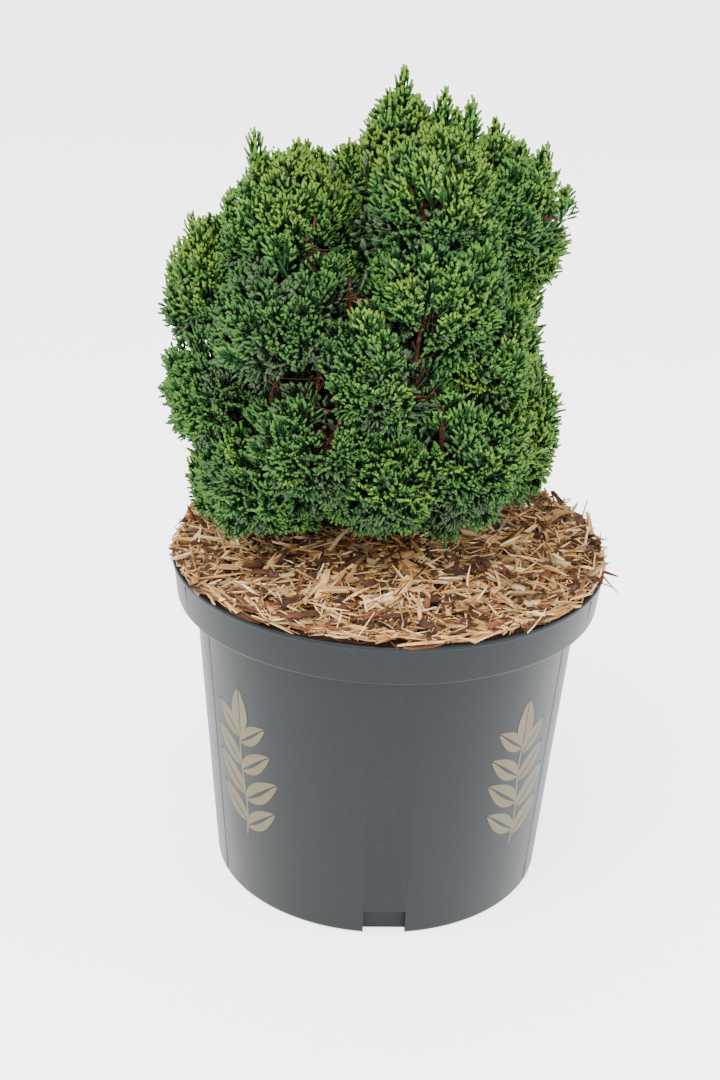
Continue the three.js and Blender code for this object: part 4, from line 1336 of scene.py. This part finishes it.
def addTwigs(pile, starts, ends, thick, thin, sides):
    run = ends - starts
    middle = (starts + ends) / 2 - up * 0.06 * np.linalg.norm(run, axis=-1, keepdims=True)
    paths = bezier(starts[:, None], middle[:, None], ends[:, None], np.linspace(0, 1, 3)[None, :])
    radii = np.broadcast_to(np.linspace(thick, thin, 3), (len(starts), 3))
    addSleeves(pile, ringGrid(paths, radii, sides))


def planFan(pairs):
    # each branchlet of a fan: where it starts and ends, along and across the spray, as shares
    branchlets = [(0.58, 0.0, 1.02, 0.0)]
    for foot, start, head, out in pairs:
        for hand in (1, -1):
            step = 0.03 * hand * (start == 0)
            branchlets.append((foot + step, hand * start, head + step, hand * out))
    return np.array(branchlets)


fullFan = planFan([
    (0.08, 0.0, 0.50, 0.42), (0.24, 0.0, 0.69, 0.45), (0.42, 0.0, 0.85, 0.37), (0.58, 0.0, 0.96, 0.24),
    (0.74, 0.0, 1.02, 0.11), (0.27, 0.20, 0.58, 0.23), (0.44, 0.21, 0.77, 0.24), (0.60, 0.16, 0.90, 0.16),
])
plainFan = planFan([(0.16, 0.0, 0.50, 0.46), (0.34, 0.0, 0.72, 0.48), (0.54, 0.0, 0.90, 0.32)])


# Leaf tints, chosen by each spray's lightness: from sunlit down to shade they carry painted light and shade;
# inner, for the most buried sprays and the core, is lighter than shade, painted light in the crown's dark
# inside.
leafTints = {
    "sunlit": {"from": 0.74, "base": "#294b26", "middle": "#2c5126", "tip": "#567327"},
    "fresh": {"from": 0.56, "base": "#254726", "middle": "#284e26", "tip": "#466a28"},
    "green": {"from": 0.36, "base": "#234326", "middle": "#254825", "tip": "#3d6226"},
    "deep": {"from": 0.16, "base": "#233f27", "middle": "#244226", "tip": "#365827"},
    "shade": {"from": 0.02, "base": "#223826", "middle": "#223b25", "tip": "#305027"},
    "inner": {"from": -9.0, "base": "#3e4a36", "middle": "#3c4b35", "tip": "#3a4d33"},
}


def growBranchlets(sprays, plan, cordRadius, piles):
    count, parts = len(sprays.length), len(plan)
    side = np.cross(sprays.axis, sprays.face)
    start = np.broadcast_to(plan[None, :, :2], (count, parts, 2))
    end = plan[None, :, 2:] + rng.normal(0, 0.035, (count, parts, 2))
    cup = rng.uniform(0.1, 0.5, (count, 1))

    def inSpace(shares):
        along = sprays.axis[:, None] * (shares[..., 0] * sprays.length[:, None])[..., None]
        across = side[:, None] * (shares[..., 1] * sprays.width[:, None])[..., None]
        lift = sprays.face[:, None] * (cup * shares[..., 1] ** 2 * 2 * sprays.width[:, None])[..., None]
        return sprays.root[:, None] + along + across + lift

    first, last = inSpace(start), inSpace(end)
    bend = rng.normal(0, 0.35, (count, parts, 3))
    shoulder = first + (last - first) * foliage["shoulder"] + bend
    paths = np.stack([shoulder, last], 2)
    size = cordRadius * rng.uniform(0.85, 1.15, (count, parts))
    radii = size[..., None] * np.array([1.0, 0.7])
    kept = rng.uniform(0, 1, (count, parts)) > foliage["missing"]
    # the fingers low in a fan are one tint darker than those at its edge, painted shade, but never of the
    # innermost tint
    tints = sorted(leafTints, key=lambda name: leafTints[name]["from"])
    tint = np.digitize(sprays.light, [leafTints[name]["from"] for name in tints]) - 1
    fingerTint = np.maximum(tint[:, None] - (plan[None, :, 2] < 0.6), np.minimum(tint[:, None], 1))
    spine = [sprays.root + sprays.axis * (sprays.length * share)[:, None] for share in (0, 0.3, 0.58)]
    for number, name in enumerate(tints):
        chosen = kept & (fingerTint == number)
        grid = ringGrid(paths[chosen], radii[chosen], 3)
        addCaps(piles[name, "middle"], grid[:, 0, ::-1], first[chosen])
        addSleeves(piles[name, "tip"], grid, closed=True)
        mine = tint == number
        thickness = np.broadcast_to(np.array([0.5, 0.62, 0.6]), (int(mine.sum()), 3))
        addSleeves(piles[name, "base"], ringGrid(np.stack(spine, 1)[mine], thickness, 3))


def leafFinish(name, code):
    finish = Finish(name)
    return finish.set(color=tone(code), roughness=0.5, specular=0.16)


def addWindowStems(pile):
    # at the end of each hollow a bare stem rises and gives off finer and finer twigs
    axes = hollowAxes()
    ends = windows[:, :3] + axes * hollows["depth"]
    sideways = unit(np.cross(axes, up))

    def near(deep, across, low, high):
        spread = rng.normal(0, across, (len(ends), 1))
        rise = rng.uniform(low, high, (len(ends), 1))
        return ends + axes * deep + sideways * spread + up * rise

    foot, fork, head = (near(*hollowStems[name]) for name in ("foot", "fork", "head"))
    addTwigs(pile, foot, fork, 1.0, 0.8, 6)
    addTwigs(pile, fork, head, 0.75, 0.5, 6)
    for _ in range(hollowStems["twigs"]):
        start = fork + (head - fork) * rng.uniform(-0.3, 0.7, (len(ends), 1))
        end = near(*hollowStems["twig"])
        addTwigs(pile, start, end, 0.45, 0.3, 4)
        addTwigs(pile, (start + end) / 2, near(*hollowStems["twiglet"]), 0.32, 0.22, 3)


def makeFoliage():
    twigPile = Pile()
    addWindowStems(twigPile)
    outer, inner = Sprays(), Sprays()
    for mass in masses:
        stem = bezier(*mass.stemCurve(), np.linspace(0, 1, 8))
        radii = np.linspace(foliage["stemRadius"], foliage["stemTipRadius"], 8)
        addSleeves(twigPile, ringGrid(stem[None], radii[None], 6))
        growClumps(mass, twigPile, outer)
        growShoots(mass, twigPile, outer)
        growFillers(mass, twigPile, inner)
    growCore(inner)
    outer.close(foliage["deepest"], foliage["shallowest"])
    inner.close(filler["deepest"], filler["shallowest"])
    print(f"sprays: {len(outer.length)} outer, {len(inner.length)} inner")
    piles = {(name, part): Pile() for name in leafTints for part in ("base", "middle", "tip")}
    growBranchlets(outer, fullFan, foliage["cordRadius"], piles)
    growBranchlets(inner, plainFan, filler["cordRadius"], piles)
    twigPile.build("twigs", barkFinish("twig bark", "#2c1810", "#522a1b"), "bark", foliageNodes)
    total = twigPile.triangles()
    for (name, part), pile in piles.items():
        material = leafFinish(f"{name} leaf {part}", leafTints[name][part])
        pile.build(f"leaves_{name}_{part}", material, "foliage", foliageNodes)
        total += pile.triangles()
        print(f"  leaves_{name}_{part}: {pile.triangles()} triangles")
    print(f"foliage: {total} triangles")


makeFoliage()
report("foliage made")


# Floor, light and camera.

studio = {
    "floorSize": 30.0, "floorTone": "#f2f3f4", "floorClouds": "#e9ebec", "floorGlow": 2.5,
    "worldTone": "#eef2f5", "worldStrength": 1.9,
    "key": {"place": (-0.5, -0.7, 1.5), "size": 1.3, "power": 46, "tone": "#fffaf2"},
    "fill": {"place": (1.3, -0.2, 0.9), "size": 1.2, "power": 18, "tone": "#f2f7ff"},
    "front": {"place": (0.1, -1.3, 0.75), "size": 1.0, "power": 12, "tone": "#fffaf2"},
}
view = {"place": (-0.0118, -0.642, 0.422), "pitch": 23.41, "roll": 2.1, "lens": 56.8}


def makeFloor():
    half = studio["floorSize"] / 2
    mesh = bpy.data.meshes.new("floor")
    corners = [(-half, -half, 0), (half, -half, 0), (half, half, 0), (-half, half, 0)]
    mesh.from_pydata(corners, [], [(0, 1, 2, 3)])
    floor = bpy.data.objects.new("floor", mesh)
    bpy.context.scene.collection.objects.link(floor)
    finish = Finish("white floor")
    clouds = finish.noise(finish.place(), 3.0, 3.0)
    shade = finish.mix(clouds, tone(studio["floorTone"]), tone(studio["floorClouds"]))
    glow = {"glow": tone(studio["floorTone"]), "glowStrength": studio["floorGlow"]}
    mesh.materials.append(finish.set(color=shade, roughness=0.55, **glow))


def addLight(name, place, size, power, tint):
    data = bpy.data.lights.new(name, "AREA")
    data.shape = "DISK"
    data.size = size
    data.energy = power
    data.color = tone(tint)[:3]
    light = bpy.data.objects.new(name, data)
    light.location = place
    light.rotation_euler = (Vector((0, 0, 0.2)) - Vector(place)).to_track_quat("-Z", "Y").to_euler()
    bpy.context.scene.collection.objects.link(light)


def makeStudio():
    makeFloor()
    world = bpy.data.worlds.new("pale room")
    world.use_nodes = True
    background = world.node_tree.nodes["Background"]
    background.inputs["Color"].default_value = tone(studio["worldTone"])
    background.inputs["Strength"].default_value = studio["worldStrength"]
    bpy.context.scene.world = world
    for name in ("key", "fill", "front"):
        light = studio[name]
        addLight(name, light["place"], light["size"], light["power"], light["tone"])


def makeCamera():
    data = bpy.data.cameras.new("camera")
    data.lens = view["lens"]
    data.sensor_width = 36
    camera = bpy.data.objects.new("camera", data)
    tilt = Matrix.Rotation(math.radians(90 - view["pitch"]), 4, "X")
    roll = Matrix.Rotation(math.radians(view["roll"]), 4, "Z")
    camera.matrix_world = Matrix.Translation(view["place"]) @ tilt @ roll
    bpy.context.scene.collection.objects.link(camera)
    bpy.context.scene.camera = camera


makeStudio()
makeCamera()
bpy.context.view_layer.update()
report("scene ready")
